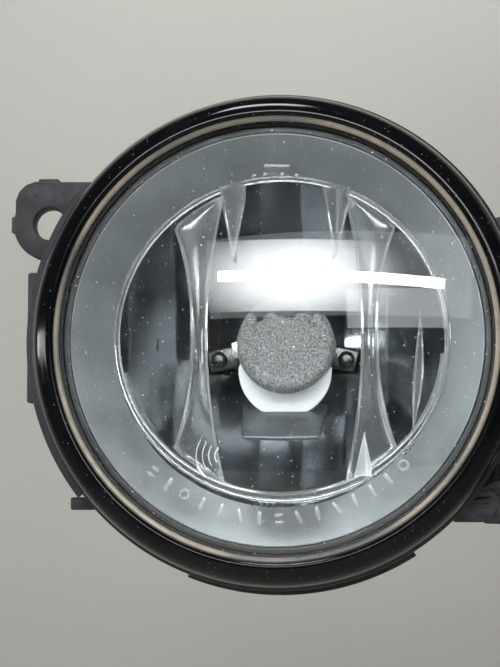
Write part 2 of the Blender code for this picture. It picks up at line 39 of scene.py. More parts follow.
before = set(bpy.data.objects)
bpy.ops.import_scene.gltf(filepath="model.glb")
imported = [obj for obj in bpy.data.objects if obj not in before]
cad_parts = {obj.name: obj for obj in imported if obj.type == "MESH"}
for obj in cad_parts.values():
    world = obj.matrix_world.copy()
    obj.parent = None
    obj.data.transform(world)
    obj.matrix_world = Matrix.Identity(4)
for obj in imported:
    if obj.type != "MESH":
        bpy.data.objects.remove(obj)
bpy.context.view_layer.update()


def mm(*values):
    """Millimetres in metres: numbers give one tuple, and tuples give a list of them."""
    if isinstance(values[0], tuple):
        return [mm(*value) for value in values]
    return tuple(value * MM for value in values)


# ---- driving dimensions, from the frame ----
LENS_LOW, LENS_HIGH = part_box("lens")
BEZEL_LOW, BEZEL_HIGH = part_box("bezel_ring")
CARRIER_LOW, CARRIER_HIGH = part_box("carrier")
HOUSING_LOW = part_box("housing")[0]
SHIELD_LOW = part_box("bulb_shield")[0]
REFLECTOR_LOW, REFLECTOR_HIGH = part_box("reflector")
SCREW_LOW, SCREW_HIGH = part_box("adjuster_screw")
KNOB_LOW, KNOB_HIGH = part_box("adjuster_knob")
NUT_LOW, NUT_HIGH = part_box("adjuster_nut")
FILAMENT_LOW, FILAMENT_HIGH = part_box("filament")
BASE_LOW, BASE_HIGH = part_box("bulb_base")

LENS_RADIUS = LENS_HIGH.x
LENS_SAG = 6.0 * MM
LENS_WALL = 3.0 * MM
LENS_CROWN_Y = LENS_LOW.y
LENS_EDGE_Y = LENS_CROWN_Y + LENS_SAG

FOCAL_LENGTH = 14.0 * MM
VERTEX_Y = (FILAMENT_LOW.y + FILAMENT_HIGH.y) / 2 + FOCAL_LENGTH
BOWL_RADIUS = 34.0 * MM
NECK_RADIUS = 10.6 * MM
CONE_Y = REFLECTOR_LOW.y
FLANGE_RADIUS = 41.7 * MM

EAR_THICKNESS = 3.5 * MM
EAR_RADIUS = 8.0 * MM
EAR_HOLE = 3.45 * MM
LEFT_EAR = (CARRIER_LOW.x + EAR_RADIUS, 26.8 * MM)
RIGHT_EAR = (CARRIER_HIGH.x - EAR_RADIUS, -28.8 * MM)
RING_INNER, RING_OUTER = 45.0 * MM, 48.2 * MM
RING_FRONT_Y, RING_REAR_Y = CARRIER_LOW.y, 3.0 * MM
CHEEK_INNER_X, CHEEK_OUTER_X = 50.9 * MM, 53.7 * MM
PIN_END_X = 53.4 * MM
SHOULDER_X = 49.8 * MM
PIVOT_Y = 3.0 * MM
SCREW_X = (SCREW_LOW.x + SCREW_HIGH.x) / 2
SCREW_Z = (SCREW_LOW.z + SCREW_HIGH.z) / 2
ARM_Y = mm(8.8, 11.8)
NECK_OUTER = 17.0 * MM
NECK_END_Y = 25.0 * MM
SPIGOT_Y = 16.5 * MM
LEG_ANGLES = (192, 348)                # the shield's two legs, in degrees about the axis
LUG_SLOTS = ((135, 19), (250, 19), (20, 26))    # middle and half width of each bayonet entry, in degrees
LUGS = ((90, 17), (205, 17), (335, 24))         # the same for the bulb's lugs


# ---- shape helpers ----
def polar(radius, degrees):
    return radius * cos(radians(degrees)), radius * sin(radians(degrees))


def arc(centre, radius, start, end, steps):
    """Points of an arc of degrees in a plane."""
    turns = [start + (end - start) * step / steps for step in range(steps + 1)]
    return [(centre[0] + dx, centre[1] + dz) for dx, dz in (polar(radius, turn) for turn in turns)]


def rounded(points, radius, steps=3, closed=True):
    """An outline with each corner replaced by a short curve."""
    result = []
    count = len(points)
    for index, corner in enumerate(points):
        if not closed and index in (0, count - 1):
            result.append(corner)
            continue
        here = Vector(corner)
        before = Vector(points[index - 1]) - here
        after = Vector(points[(index + 1) % count]) - here
        reach = min(radius, 0.45 * before.length, 0.45 * after.length)
        start, end = here + before.normalized() * reach, here + after.normalized() * reach
        for step in range(steps + 1):
            t = step / steps
            result.append(tuple(start * (1 - t) ** 2 + here * 2 * t * (1 - t) + end * t**2))
    return result


def new_object(name, mesh):
    obj = bpy.data.objects.new(name, mesh)
    bpy.context.scene.collection.objects.link(obj)
    return obj


def beside(side, near, far):
    """The span between two places on the left (-1) or right (1) of the middle."""
    return sorted((side * near, side * far))


def bridge(bm, rows, closed=False, around=True):
    """Faces between rows of points: each row is a loop if around, and the last meets the first if closed."""
    made = []
    for near, far in list(zip(rows, rows[1:])) + ([(rows[-1], rows[0])] if closed else []):
        for index in range(len(near) if around else len(near) - 1):
            after = (index + 1) % len(near)
            corners = [near[index], near[after], far[after], far[index]]
            made.append(bm.faces.new(list(dict.fromkeys(corners))))
    return made


def mesh_from(bm, name, sharp=38):
    bmesh.ops.remove_doubles(bm, verts=bm.verts, dist=1e-7)
    bmesh.ops.recalc_face_normals(bm, faces=bm.faces)
    mesh = bpy.data.meshes.new(name)
    bm.to_mesh(mesh)
    bm.free()
    mesh.shade_smooth()
    mesh.set_sharp_from_angle(angle=radians(sharp))
    return mesh


ALONG_X = Matrix.Rotation(radians(-90), 4, "Z")    # lays a lathe's Y axis along +X
ALONG_LEFT = Matrix.Rotation(radians(90), 4, "Z")
ALONG_Z = Matrix.Rotation(radians(90), 4, "X")


def placed(at, turn=None):
    return Matrix.Translation(at) @ (turn or Matrix.Identity(4))


def about_axis(degrees):
    """A turn about the optical axis, from +X towards +Z."""
    return Matrix.Rotation(radians(-degrees), 4, "Y")


class Piece:
    """Collects closed shapes into one mesh, with a material index for each."""

    def __init__(self, name):
        self.name = name
        self.bm = bmesh.new()

    def take(self, bm, matrix=None, slot=0):
        if matrix:
            bmesh.ops.transform(bm, matrix=matrix, verts=bm.verts)
        bmesh.ops.recalc_face_normals(bm, faces=bm.faces)
        for face in bm.faces:
            face.material_index = slot
        mesh = bpy.data.meshes.new("part")
        bm.to_mesh(mesh)
        bm.free()
        self.bm.from_mesh(mesh)
        bpy.data.meshes.remove(mesh)
        return self

    def lathe(self, outline, segments=96, rounding=0.25 * MM, turn=None, at=(0, 0, 0), slot=0):
        """Turns an outline of (radius, y) about the Y axis; it is a loop unless its ends are on the axis."""
        on_axis = outline[0][0] == 0 and outline[-1][0] == 0
        points = rounded(outline, rounding, closed=not on_axis) if rounding else list(outline)
        bm = bmesh.new()
        rings = []
        for radius, y in points:
            if radius == 0:
                rings.append([bm.verts.new((0, y, 0))] * segments)
                continue
            turns = [2 * pi * step / segments for step in range(segments)]
            rings.append([bm.verts.new((radius * cos(a), y, radius * sin(a))) for a in turns])
        bridge(bm, rings, closed=not on_axis)
        return self.take(bm, placed(at, turn), slot)

    def box(self, x, y, z, rounding=0.4 * MM, turn=None, at=(0, 0, 0), slot=0):
        bm = bmesh.new()
        bmesh.ops.create_cube(bm, size=1)
        size = Matrix.Diagonal((abs(x[1] - x[0]), abs(y[1] - y[0]), abs(z[1] - z[0]), 1))
        bmesh.ops.transform(bm, matrix=size, verts=bm.verts)
        bmesh.ops.bevel(bm, geom=bm.edges, offset=rounding, segments=3, profile=0.5, affect="EDGES")
        centre = Matrix.Translation((sum(x) / 2, sum(y) / 2, sum(z) / 2))
        return self.take(bm, placed(at, turn) @ centre, slot)

    def plate(self, outlines, y, rounding=0.35 * MM, corner=0.4 * MM, turn=None, at=(0, 0, 0), slot=0):
        """A flat piece between two y values: the first outline of (x, z) is its edge, the rest holes."""
        curve = bpy.data.curves.new("plate", "CURVE")
        curve.dimensions = "2D"
        curve.fill_mode = "BOTH"
        curve.extrude = abs(y[1] - y[0]) / 2 - rounding
        curve.bevel_depth = rounding
        curve.bevel_resolution = 2
        curve.offset = -rounding
        for points in outlines:
            smooth = rounded(points, corner) if corner else points
            spline = curve.splines.new("POLY")
            spline.points.add(len(smooth) - 1)
            for place, (px, pz) in zip(spline.points, smooth):
                place.co = (px, pz, 0, 1)
            spline.use_cyclic_u = True
        holder = new_object("plate", curve)
        mesh = bpy.data.meshes.new_from_object(holder)
        bm = bmesh.new()
        bm.from_mesh(mesh)
        bmesh.ops.remove_doubles(bm, verts=bm.verts, dist=1e-6)
        bpy.data.objects.remove(holder)
        bpy.data.meshes.remove(mesh)
        stand = Matrix.Translation((0, (y[0] + y[1]) / 2, 0)) @ Matrix.Rotation(radians(90), 4, "X")
        return self.take(bm, placed(at, turn) @ stand, slot)

    def sector(self, inner, outer, start, end, y, steps=12, rounding=0.3 * MM, slot=0):
        outline = arc((0, 0), outer, start, end, steps) + arc((0, 0), inner, end, start, steps)
        return self.plate([outline], y, rounding, corner=0, slot=slot)

    def object(self, sharp=38):
        return new_object(self.name, mesh_from(self.bm, self.name, sharp))


def boolean(target, tool, operation="DIFFERENCE", sharp=38):
    """Applies a Boolean and removes the tool."""
    change = target.modifiers.new("cut", "BOOLEAN")
    change.operation = operation
    change.object = tool
    change.use_self = False
    bpy.context.view_layer.update()
    made = bpy.data.meshes.new_from_object(target.evaluated_get(bpy.context.evaluated_depsgraph_get()))
    target.modifiers.remove(change)
    target.data = made
    bpy.data.objects.remove(tool)
    made.shade_smooth()
    made.set_sharp_from_angle(angle=radians(sharp))
    return target


def merged(name, objects):
    """Joins finished objects into one mesh."""
    bm = bmesh.new()
    for obj in objects:
        bm.from_mesh(obj.data)
        bpy.data.objects.remove(obj)
    mesh = bpy.data.meshes.new(name)
    bm.to_mesh(mesh)
    bm.free()
    mesh.shade_smooth()
    mesh.set_sharp_from_angle(angle=radians(38))
    return new_object(name, mesh)


def tube_along(name, points, radius, resolution=3):
    """A round wire along points."""
    curve = bpy.data.curves.new(name, "CURVE")
    curve.dimensions = "3D"
    curve.bevel_depth = radius
    curve.bevel_resolution = resolution
    curve.use_fill_caps = True
    spline = curve.splines.new("POLY")
    spline.points.add(len(points) - 1)
    for place, point in zip(spline.points, points):
        place.co = (*point, 1)
    holder = new_object(name, curve)
    mesh = bpy.data.meshes.new_from_object(holder)
    bpy.data.objects.remove(holder)
    mesh.shade_smooth()
    return new_object(name, mesh)


# ---- materials ----
class Material:
    """A node material round one Principled shader."""

    def __init__(self, name, **sockets):
        self.material = bpy.data.materials.new(name)
        self.material.use_nodes = True
        self.tree = self.material.node_tree
        self.shader = self.tree.nodes["Principled BSDF"]
        self.set(self.shader, sockets)
        self.place = self.node("ShaderNodeTexCoord").outputs["Object"]

    def set(self, node, sockets):
        for name, value in sockets.items():
            socket = node.inputs[name if isinstance(name, int) else name.replace("_", " ")]
            if isinstance(value, bpy.types.NodeSocket):
                self.tree.links.new(value, socket)
            else:
                socket.default_value = value

    def node(self, kind, settings=None, **sockets):
        made = self.tree.nodes.new(kind)
        for name, value in (settings or {}).items():
            setattr(made, name, value)
        self.set(made, sockets)
        return made

    def noise(self, scale, detail=4.0, roughness=0.5, stretch=None):
        place = self.place
        if stretch:
            place = self.node("ShaderNodeMapping", Vector=place, Scale=stretch).outputs["Vector"]
        return self.node("ShaderNodeTexNoise", Vector=place, Scale=scale, Detail=detail,
                         Roughness=roughness).outputs["Fac"]

    def specks(self, spacing, size, share):
        """A mask of small round specks: about one cell in share holds one."""
        cells = self.node("ShaderNodeTexVoronoi", Vector=self.place, Scale=1 / spacing, Randomness=1.0)
        near = self.ramp(cells.outputs["Distance"], size * 0.6, size, flip=True)
        chosen = self.node("ShaderNodeSeparateColor", Color=cells.outputs["Color"]).outputs["Red"]
        return self.times(near, self.ramp(chosen, 1 - share, 1 - share + 0.01))

    def ramp(self, value, low, high, to_low=0.0, to_high=1.0, flip=False):
        if flip:
            to_low, to_high = to_high, to_low
        made = self.node("ShaderNodeMapRange", {"clamp": True})
        self.set(made, {"Value": value, "From_Min": low, "From_Max": high, "To_Min": to_low,
                        "To_Max": to_high})
        return made.outputs["Result"]

    def math(self, operation, first, second):
        made = self.node("ShaderNodeMath", {"operation": operation})
        self.set(made, {0: first, 1: second})
        return made.outputs["Value"]

    def times(self, first, second):
        return self.math("MULTIPLY", first, second)

    def plus(self, first, second):
        return self.math("ADD", first, second)

    def most(self, first, second):
        return self.math("MAXIMUM", first, second)

    def mix(self, share, first, second):
        made = self.node("ShaderNodeMix", {"data_type": "RGBA"})
        self.set(made, {0: share, 6: first, 7: second})
        return made.outputs[2]

    def bump(self, height, distance, strength=1.0):
        before = self.shader.inputs["Normal"].links
        sockets = {"Height": height, "Distance": distance, "Strength": strength}
        if before:
            sockets["Normal"] = before[0].from_socket
        self.set(self.shader, {"Normal": self.node("ShaderNodeBump", **sockets).outputs["Normal"]})

    def edges(self):
        """A mask that is 1 on worn outer edges."""
        return self.ramp(self.node("ShaderNodeNewGeometry").outputs["Pointiness"], 0.52, 0.60)

    def surface(self, tone, roughness):
        self.set(self.shader, {"Base Color": tone, "Roughness": roughness})

    def let_light_through(self, share=None, colour=(1.0, 1.0, 1.0, 1.0)):
        """Lets a lamp's light straight through, where share is 1, so that it lights what is behind."""
        shadow = self.node("ShaderNodeLightPath").outputs["Is Shadow Ray"]
        clear = self.node("ShaderNodeBsdfTransparent", Color=colour)
        blend = self.node("ShaderNodeMixShader")
        self.set(blend, {0: self.times(shadow, share) if share else shadow,
                         1: self.shader.outputs[0], 2: clear.outputs[0]})
        self.tree.links.new(blend.outputs[0], self.tree.nodes["Material Output"].inputs["Surface"])


def grey(value, tint=(1.0, 1.0, 1.0)):
    return (value * tint[0], value * tint[1], value * tint[2], 1.0)


def moulded_plastic(name, dark, light, roughness, grain, depth, tint=(1.0, 1.0, 1.04)):
    """Matt injection-moulded plastic: cloudy tone, a fine eroded grain, paler worn edges and some dust."""
    made = Material(name)
    cloud = made.noise(90, detail=6)
    tone = made.mix(made.ramp(cloud, 0.35, 0.65), grey(dark, tint), grey(light, tint))
    worn = made.times(made.edges(), made.ramp(made.noise(400), 0.4, 0.6))
    tone = made.mix(made.times(worn, 0.5), tone, grey(light * 2.6, tint))
    dust = made.ramp(made.noise(1400, detail=2), 0.66, 0.78, 0.0, 0.35)
    tone = made.mix(dust, tone, grey(0.20, (1.0, 0.97, 0.92)))
    made.surface(tone, made.ramp(made.noise(300), 0.3, 0.7, roughness - 0.08, roughness + 0.08))
    made.bump(made.noise(grain, detail=3), depth)
    return made.material


def gloss_plastic():
    """Piano-black plastic with a faint orange peel, fine wiping scratches and grey dust."""
    made = Material("gloss_black_plastic", IOR=1.31)
    dust = made.most(made.specks(1.3 * MM, 0.10, 0.35), made.specks(0.7 * MM, 0.16, 0.10))
    film = made.ramp(made.noise(70, detail=8, roughness=0.65), 0.45, 0.75, 0.0, 0.06)
    tone = made.mix(film, grey(0.004, (0.9, 1.0, 1.3)), grey(0.10))
    tone = made.mix(made.times(dust, 0.75), tone, grey(0.34, (1.0, 0.97, 0.93)))
    scratches = made.ramp(made.noise(260, detail=2, stretch=(1.0, 9.0, 0.25)), 0.60, 0.72, 0.0, 0.10)
    rough = made.plus(made.ramp(made.noise(120, detail=6), 0.3, 0.7, 0.05, 0.14), scratches)
    made.surface(tone, made.plus(rough, made.times(dust, 0.5)))
    made.bump(made.noise(220, detail=1), 0.02 * MM, 0.35)
    made.bump(dust, 0.02 * MM)
    return made.material


def clear_glass(name, clearness=1.0, haze_top=0.05):
    """Glass with dust on it, and as much haze as its surface has."""
    made = Material(name, IOR=1.6, Base_Color=(0.96, 0.985, 0.98, 1.0))
    haze = made.ramp(made.noise(140, detail=7, roughness=0.7), 0.45, 0.8, haze_top - 0.05, haze_top)
    dust = made.most(made.specks(2.0 * MM, 0.085, 0.34), made.specks(0.9 * MM, 0.11, 0.20))
    made.set(made.shader, {"Transmission Weight": made.ramp(dust, 0, 1, clearness, 0.42),
                           "Roughness": made.plus(haze, made.times(dust, 0.6))})
    made.let_light_through(colour=(0.93, 0.95, 0.95, 1.0))
    return made.material


def mirror_coating():
    """Vapour-coated aluminium with slight waves and a thin milky film."""
    made = Material("mirror_coating", Metallic=1.0)
    film = made.ramp(made.noise(120, detail=6, roughness=0.6), 0.35, 0.75)
    tone = made.mix(film, grey(0.34, (0.94, 1.0, 1.08)), grey(0.46, (0.95, 1.0, 1.06)))
    made.surface(tone, made.ramp(film, 0, 1, 0.08, 0.18))
    made.bump(made.noise(60, detail=2), 0.10 * MM, 0.25)
    return made.material


def satin_coating():
    """The reflector's frosted edge: the same coating on an etched surface."""
    made = Material("satin_coating", Metallic=0.85)
    cloud = made.ramp(made.noise(110, detail=8, roughness=0.62), 0.3, 0.7)
    tone = made.mix(cloud, grey(0.31, (0.96, 1.0, 1.03)), grey(0.41, (0.97, 1.0, 1.02)))
    made.surface(tone, made.ramp(cloud, 0, 1, 0.46, 0.60))
    made.bump(made.noise(2600, detail=2), 0.05 * MM, 0.6)
    return made.material


def speckled_coat():
    """Grey heat-resistant coat on the shield, speckled and a little scorched, with its top painted near-black
    as painted shade.
    """
    made = Material("speckled_coat", Metallic=0.25)
    grains = made.ramp(made.noise(2500, detail=3, roughness=0.7), 0.40, 0.62)
    patches = made.ramp(made.noise(260, detail=6, roughness=0.7), 0.38, 0.66)
    tone = made.mix(grains, grey(0.08), grey(0.28))
    tone = made.mix(made.times(patches, 0.55), tone, grey(0.21, (1.0, 0.98, 0.95)))
    tone = made.mix(made.times(made.edges(), 0.8), tone, grey(0.6))
    # Above a ragged height the coat is painted near-black: painted shade that lets the cup's top sink into
    # the dark around it.
    height = made.node("ShaderNodeSeparateXYZ", Vector=made.place).outputs["Z"]
    painted_dark_top = made.plus(height, made.times(made.noise(230, detail=3), 7 * MM))
    tone = made.mix(made.ramp(painted_dark_top, 8.0 * MM, 8.2 * MM), tone, grey(0.02))
    made.surface(tone, made.ramp(grains, 0, 1, 0.75, 0.45))
    made.bump(made.noise(1900, detail=3, roughness=0.7), 0.08 * MM)
    return made.material


def bright_metal(name, tone=0.62, tint=(1.0, 1.0, 0.97), roughness=0.30, stretch=(1.0, 12.0, 1.0)):
    """Drawn or pressed bright steel, with fine lines and small stains."""
    made = Material(name, Metallic=1.0)
    lines = made.noise(500, detail=3, stretch=stretch)
    stains = made.ramp(made.noise(350, detail=5), 0.52, 0.72)
    made.surface(made.mix(made.times(stains, 0.6), grey(tone, tint), grey(tone * 0.55)),
                 made.ramp(lines, 0.3, 0.7, roughness - 0.1, roughness + 0.12))
    made.bump(lines, 0.02 * MM, 0.5)
    return made.material


def nylon():
    """Natural nylon, slightly yellow, with dirty patches here and there."""
    made = Material("natural_nylon", Subsurface_Weight=0.15, Subsurface_Scale=1.0 * MM)
    tone = made.mix(made.ramp(made.noise(200, detail=6), 0.35, 0.7), grey(0.66, (1.0, 0.97, 0.88)),
                    grey(0.52, (1.0, 0.95, 0.82)))
    tone = made.mix(made.times(made.ramp(made.noise(900), 0.6, 0.75), 0.4), tone,
                    grey(0.24, (1.0, 0.9, 0.75)))
    made.surface(tone, made.ramp(made.noise(500), 0.3, 0.7, 0.34, 0.55))
    made.bump(made.noise(1500), 0.02 * MM)
    return made.material


def rubber(name, tone, tint=(1.0, 1.0, 1.0)):
    """Soft rubber with a dusty bloom."""
    made = Material(name)
    bloom = made.ramp(made.noise(260, detail=7), 0.4, 0.75, 0.0, 0.5)
    made.surface(made.mix(bloom, grey(tone, tint), grey(tone * 1.8 + 0.01, tint)),
                 made.ramp(bloom, 0, 0.5, 0.62, 0.9))
    made.bump(made.noise(1800, detail=3), 0.04 * MM)
    return made.material


def bulb_capsule_glass():
    """The bulb's clear glass with its opaque grey tip."""
    made = Material("capsule_glass", IOR=1.47)
    along = made.node("ShaderNodeSeparateXYZ", Vector=made.place).outputs["Y"]
    edge = made.plus(along, made.times(made.noise(300), 0.4 * MM))
    tip_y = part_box("bulb_glass")[0].y
    clear = made.ramp(edge, tip_y + 6.0 * MM, tip_y + 6.4 * MM)
    made.surface(made.mix(clear, grey(0.09), grey(0.98)), made.ramp(clear, 0, 1, 0.45, 0.02))
    made.set(made.shader, {"Transmission Weight": clear})
    made.let_light_through(clear)
    return made.material


def painted_reflection_bead():
    """Bead against the glass coloured as a painted reflection: cream where the pale surface would be mirrored
    in it, dark grey in wide patches where that painted reflection fades, with small grey stains.
    """
    made = Material("cream_painted_reflection")
    wide = made.ramp(made.noise(24, detail=2), 0.34, 0.46)
    fine = made.ramp(made.noise(500, detail=5), 0.3, 0.7)
    # Painted reflection: cream stands for the pale surface mirrored in the bead, dark grey for where nothing
    # bright is mirrored.
    tone = made.mix(wide, grey(0.09, (0.97, 1.0, 1.04)), grey(0.42, (1.0, 0.86, 0.66)))
    tone = made.mix(made.times(fine, 0.4), tone, grey(0.12))
    made.surface(tone, made.ramp(fine, 0, 1, 0.24, 0.42))
    made.bump(made.noise(700, detail=3), 0.05 * MM)
    return made.material


def white_coat():
    """Bright white enamel with a few faint marks."""
    made = Material("white_enamel")
    marks = made.ramp(made.noise(300, detail=4), 0.62, 0.70)
    made.surface(made.mix(made.times(marks, 0.25), grey(0.90), grey(0.55)),
                 made.ramp(made.noise(200), 0.3, 0.7, 0.25, 0.45))
    made.bump(made.noise(400), 0.02 * MM)
    return made.material


def stage_material():
    """Pale cream studio surface, faintly uneven."""
    made = Material("pale_cream_surface", Roughness=0.7)
    cloud = made.noise(3, detail=5)
    tone = made.mix(made.ramp(cloud, 0.3, 0.7), grey(0.46, (1.0, 0.95, 0.86)), grey(0.52, (1.0, 0.955, 0.87)))
    made.set(made.shader, {"Base Color": tone})
    made.bump(made.noise(60, detail=4), 0.3 * MM, 0.3)
    return made.material


CARRIER_PLASTIC = moulded_plastic("carrier_plastic", 0.013, 0.026, 0.52, 2400, 0.10 * MM, (0.92, 1.0, 1.12))
HOUSING_PLASTIC = moulded_plastic("housing_plastic", 0.014, 0.026, 0.46, 1500, 0.05 * MM)
BASE_PLASTIC = moulded_plastic("bulb_base_plastic", 0.018, 0.030, 0.40, 1800, 0.03 * MM)
GLOSS = gloss_plastic()
GLASS = clear_glass("lens_glass")
RIB_GLASS = clear_glass("ribbed_glass", clearness=0.90, haze_top=0.08)
MARK_GLASS = clear_glass("frosted_glass", clearness=0.74, haze_top=0.22)
ARC_GLASS = clear_glass("milky_glass", clearness=0.45, haze_top=0.12)
MIRROR = mirror_coating()
SATIN = satin_coating()
SPECKLED = speckled_coat()
BEAD_PAINTED_REFLECTION = painted_reflection_bead()
WHITE_COAT = white_coat()
STEEL = bright_metal("pressed_steel", 0.66, roughness=0.26)
DULL_STEEL = bright_metal("dull_steel", 0.22, (0.95, 1.0, 1.05), roughness=0.45)
DARK_STEEL = bright_metal("dark_steel", 0.10, roughness=0.30)
ZINC = bright_metal("zinc_plate", 0.58, (1.0, 0.98, 0.90), 0.34, stretch=(1.0, 1.0, 1.0))
BRASS = bright_metal("tinned_brass", 0.62, (1.0, 0.90, 0.66), 0.30, stretch=(8.0, 1.0, 1.0))
TUNGSTEN = bright_metal("tungsten", 0.34, (1.0, 1.0, 1.03), 0.42)
NYLON = nylon()
RUBBER = rubber("black_rubber", 0.012)
ORANGE = rubber("orange_silicone", 0.42, (1.0, 0.28, 0.08))
CAPSULE = bulb_capsule_glass()


def finish(obj, body, replaced=(), materials=()):
    """Gives a piece its materials and its body, and hides the CAD nodes that it stands for."""
    slots = [polygon.material_index for polygon in obj.data.polygons]
    obj.data.materials.clear()
    for material in materials:
        obj.data.materials.append(material)
    obj.data.polygons.foreach_set("material_index", slots)
    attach(obj, body)
    if replaced:
        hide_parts(*replaced)
    return obj


# ---- lamp unit ----
def lens_front(radius):
    """Y of the glass's front surface."""
    sphere = (LENS_RADIUS**2 + LENS_SAG**2) / (2 * LENS_SAG)
    return LENS_CROWN_Y + sphere - sqrt(sphere**2 - radius**2)


def lens_rear(radius):
    """Y of the back of the glass."""
    return lens_front(radius) + LENS_WALL


PATTERN_X = 2.0 * MM                # the moulded pattern stands a little to the right of the centre
RIDGE_RING = mm(33.0, 31.8)         # half width and half height of the oval ridge round the pattern
RIDGE_RING_X = 1.3 * MM


def rise(share):
    """A smooth step from 0 to 1."""
    share = min(max(share, 0.0), 1.0)
    return share * share * (3 - 2 * share)


def ridge(sections, closed=False):
    """Glass that stands out from the back of the lens, from cross-sections of (x, z, height) points."""
    bm = bmesh.new()
    rows = []
    for section in sections:
        (x0, z0, _), (x1, z1, _) = section[0], section[-1]
        sunk = [(x0, z0, -0.8 * MM)] + list(section) + [(x1, z1, -0.8 * MM)]
        rows.append([bm.verts.new((x, lens_rear(min(sqrt(x * x + z * z), LENS_RADIUS)) + height, z))
                     for x, z, height in sunk])
    bridge(bm, rows, closed)
    if not closed:
        bm.faces.new(rows[0])
        bm.faces.new(rows[-1][::-1])
    return new_object("ridge", mesh_from(bm, "ridge", sharp=60))


def across(start, end, height, start_slope, end_slope, crown=0.0, steps=5):
    """A flat-topped cross-section between two places: (place, height) pairs."""
    points = [(start + start_slope * step / steps, height * rise(step / steps)) for step in range(steps + 1)]
    for step in range(1, 8):
        share = step / 8
        place = (start + start_slope) * (1 - share) + (end - end_slope) * share
        points.append((place, height + crown * 4 * share * (1 - share)))
    points += [(end - end_slope * step / steps, height * rise(step / steps)) for step in range(steps, -1, -1)]
    return points


def ring_limit(z):
    """How far from its middle the pattern reaches sideways at a height."""
    share = min(abs(z) / (RIDGE_RING[1] - 0.5 * MM), 1.0)
    return (RIDGE_RING[0] - 0.5 * MM) * sqrt(1 - share * share) - (PATTERN_X - RIDGE_RING_X)


def column(side):
    """An hourglass-shaped rib that runs up the glass, with a wide slope outside and a steep one inside."""
    sections = []
    steps = 60
    for step in range(steps + 1):
        z = 29.6 * MM * (2 * step / steps - 1)
        inner = 15.2 * MM - 2.9 * MM * (z / (27 * MM)) ** 2
        outer = 18.7 * MM + 3.6 * MM * (abs(z) / (22 * MM)) ** 2.4
        limit = ring_limit(z)
        inner, outer = min(inner, limit - 0.5 * MM), min(outer, limit)
        slope = min(0.8 * MM, 0.45 * (outer - inner))
        profile = across(inner, outer, 1.0 * MM, min(0.5 * MM, 0.3 * (outer - inner)), slope, 0.30 * MM)
        sections.append([(PATTERN_X + side * place, z, height) for place, height in profile])
    return ridge(sections)


def spike(tip, end_z, left, right, height=1.0 * MM):
    """A rib that starts as a point and widens towards one end of the pattern."""
    sections = []
    steps = 24
    for step in range(steps + 1):
        share = step / steps
        z = tip[1] + (end_z - tip[1]) * share
        low = tip[0] - 0.12 * MM + (left - tip[0]) * share
        high = tip[0] + 0.12 * MM + (right - tip[0]) * min(share * 1.3, 1.0)
        slope = min(0.45 * MM, 0.4 * (high - low))
        profile = across(low, high, height * rise(4 * share + 0.15), slope, slope, 0.30 * MM)
        sections.append([(x, z, rib) for x, rib in profile])
    return ridge(sections)


def sliver():
    """A thin curved rib near the pattern's right edge."""
    sections = []
    steps, top, bottom = 30, 5.4 * MM, -18.6 * MM
    for step in range(steps + 1):
        share = step / steps
        z = top + (bottom - top) * share
        middle = 28.9 * MM - 1.6 * MM * share**2
        half = 0.12 * MM + 1.2 * MM * sin(pi * share) ** 1.5 * (0.5 + share / 2)
        profile = across(middle - half, middle + half, 0.7 * MM, 0.6 * half, 0.6 * half)
        sections.append([(x, z, height) for x, height in profile])
    return ridge(sections)


def ridge_ring():
    """The oval ridge round the pattern, wider at the bottom."""
    sections = []
    steps = 144
    for step in range(steps):
        angle = 2 * pi * step / steps
        width = (1.3 + 0.9 * max(0.0, -sin(angle)) ** 2) * MM
        profile = across(-width / 2, width / 2, 0.6 * MM, 0.35 * width, 0.35 * width)
        sections.append([(RIDGE_RING_X + (RIDGE_RING[0] + place) * cos(angle),
                          (RIDGE_RING[1] + place) * sin(angle), height) for place, height in profile])
    return ridge(sections, closed=True)


def ripple(centre, radius, start, end):
    """A short curved rib."""
    sections = []
    steps = 16
    for step in range(steps + 1):
        angle = radians(start + (end - start) * step / steps)
        height = 1.45 * MM * rise(4 * min(step, steps - step) / steps + 0.1)
        profile = across(-0.32 * MM, 0.32 * MM, height, 0.26 * MM, 0.26 * MM)
        sections.append([(centre[0] + (radius + place) * cos(angle),
                          centre[1] + (radius + place) * sin(angle), rib)
                         for place, rib in profile])
    return ridge(sections)


def make_glass():
    steps = 30
    bevel = 0.35 * MM
    front = [(LENS_RADIUS * step / steps, lens_front(LENS_RADIUS * step / steps)) for step in range(steps)]
    edge = [(LENS_RADIUS - bevel, lens_front(LENS_RADIUS - bevel)), (LENS_RADIUS, LENS_EDGE_Y + bevel),
            (LENS_RADIUS, LENS_EDGE_Y + LENS_WALL - bevel), (LENS_RADIUS - bevel, LENS_EDGE_Y + LENS_WALL)]
    rear = [(LENS_RADIUS * step / steps, lens_rear(LENS_RADIUS * step / steps)) for step in range(steps - 1,
                                                                                                  -1, -1)]
    glass = Piece("glass").lathe(front + edge + rear, segments=192, rounding=0).object(sharp=30)
    ribs = [ridge_ring(), column(-1), column(1), sliver(),
            spike(mm(-8.1, 15.4), 30.6 * MM, -11.2 * MM, -5.9 * MM),
            spike(mm(12.1, 15.4), 30.0 * MM, 9.8 * MM, 14.9 * MM)]
    arcs_at = mm(-10.0, -23.6)
    bright = [ripple(arcs_at, (1.9 + 1.25 * index) * MM, 125, 236) for index in range(4)]
    bright.append(spike(mm(17.7, -17.8), -27.6 * MM, 15.4 * MM, 19.2 * MM, 1.5 * MM))
    marks = make_marks()
    coats = [GLASS, RIB_GLASS, MARK_GLASS, ARC_GLASS]
    for obj, slot in [(glass, 0), (marks, 2)] + [(rib, 1) for rib in ribs] + [(rib, 3) for rib in bright]:
        for coat in coats:
            obj.data.materials.append(coat)
        obj.data.polygons.foreach_set("material_index", [slot] * len(obj.data.polygons))
    for tool in ribs + bright + [marks]:
        boolean(glass, tool, "UNION", sharp=30)
    return finish(glass, "lamp_unit", ["lens"], coats)


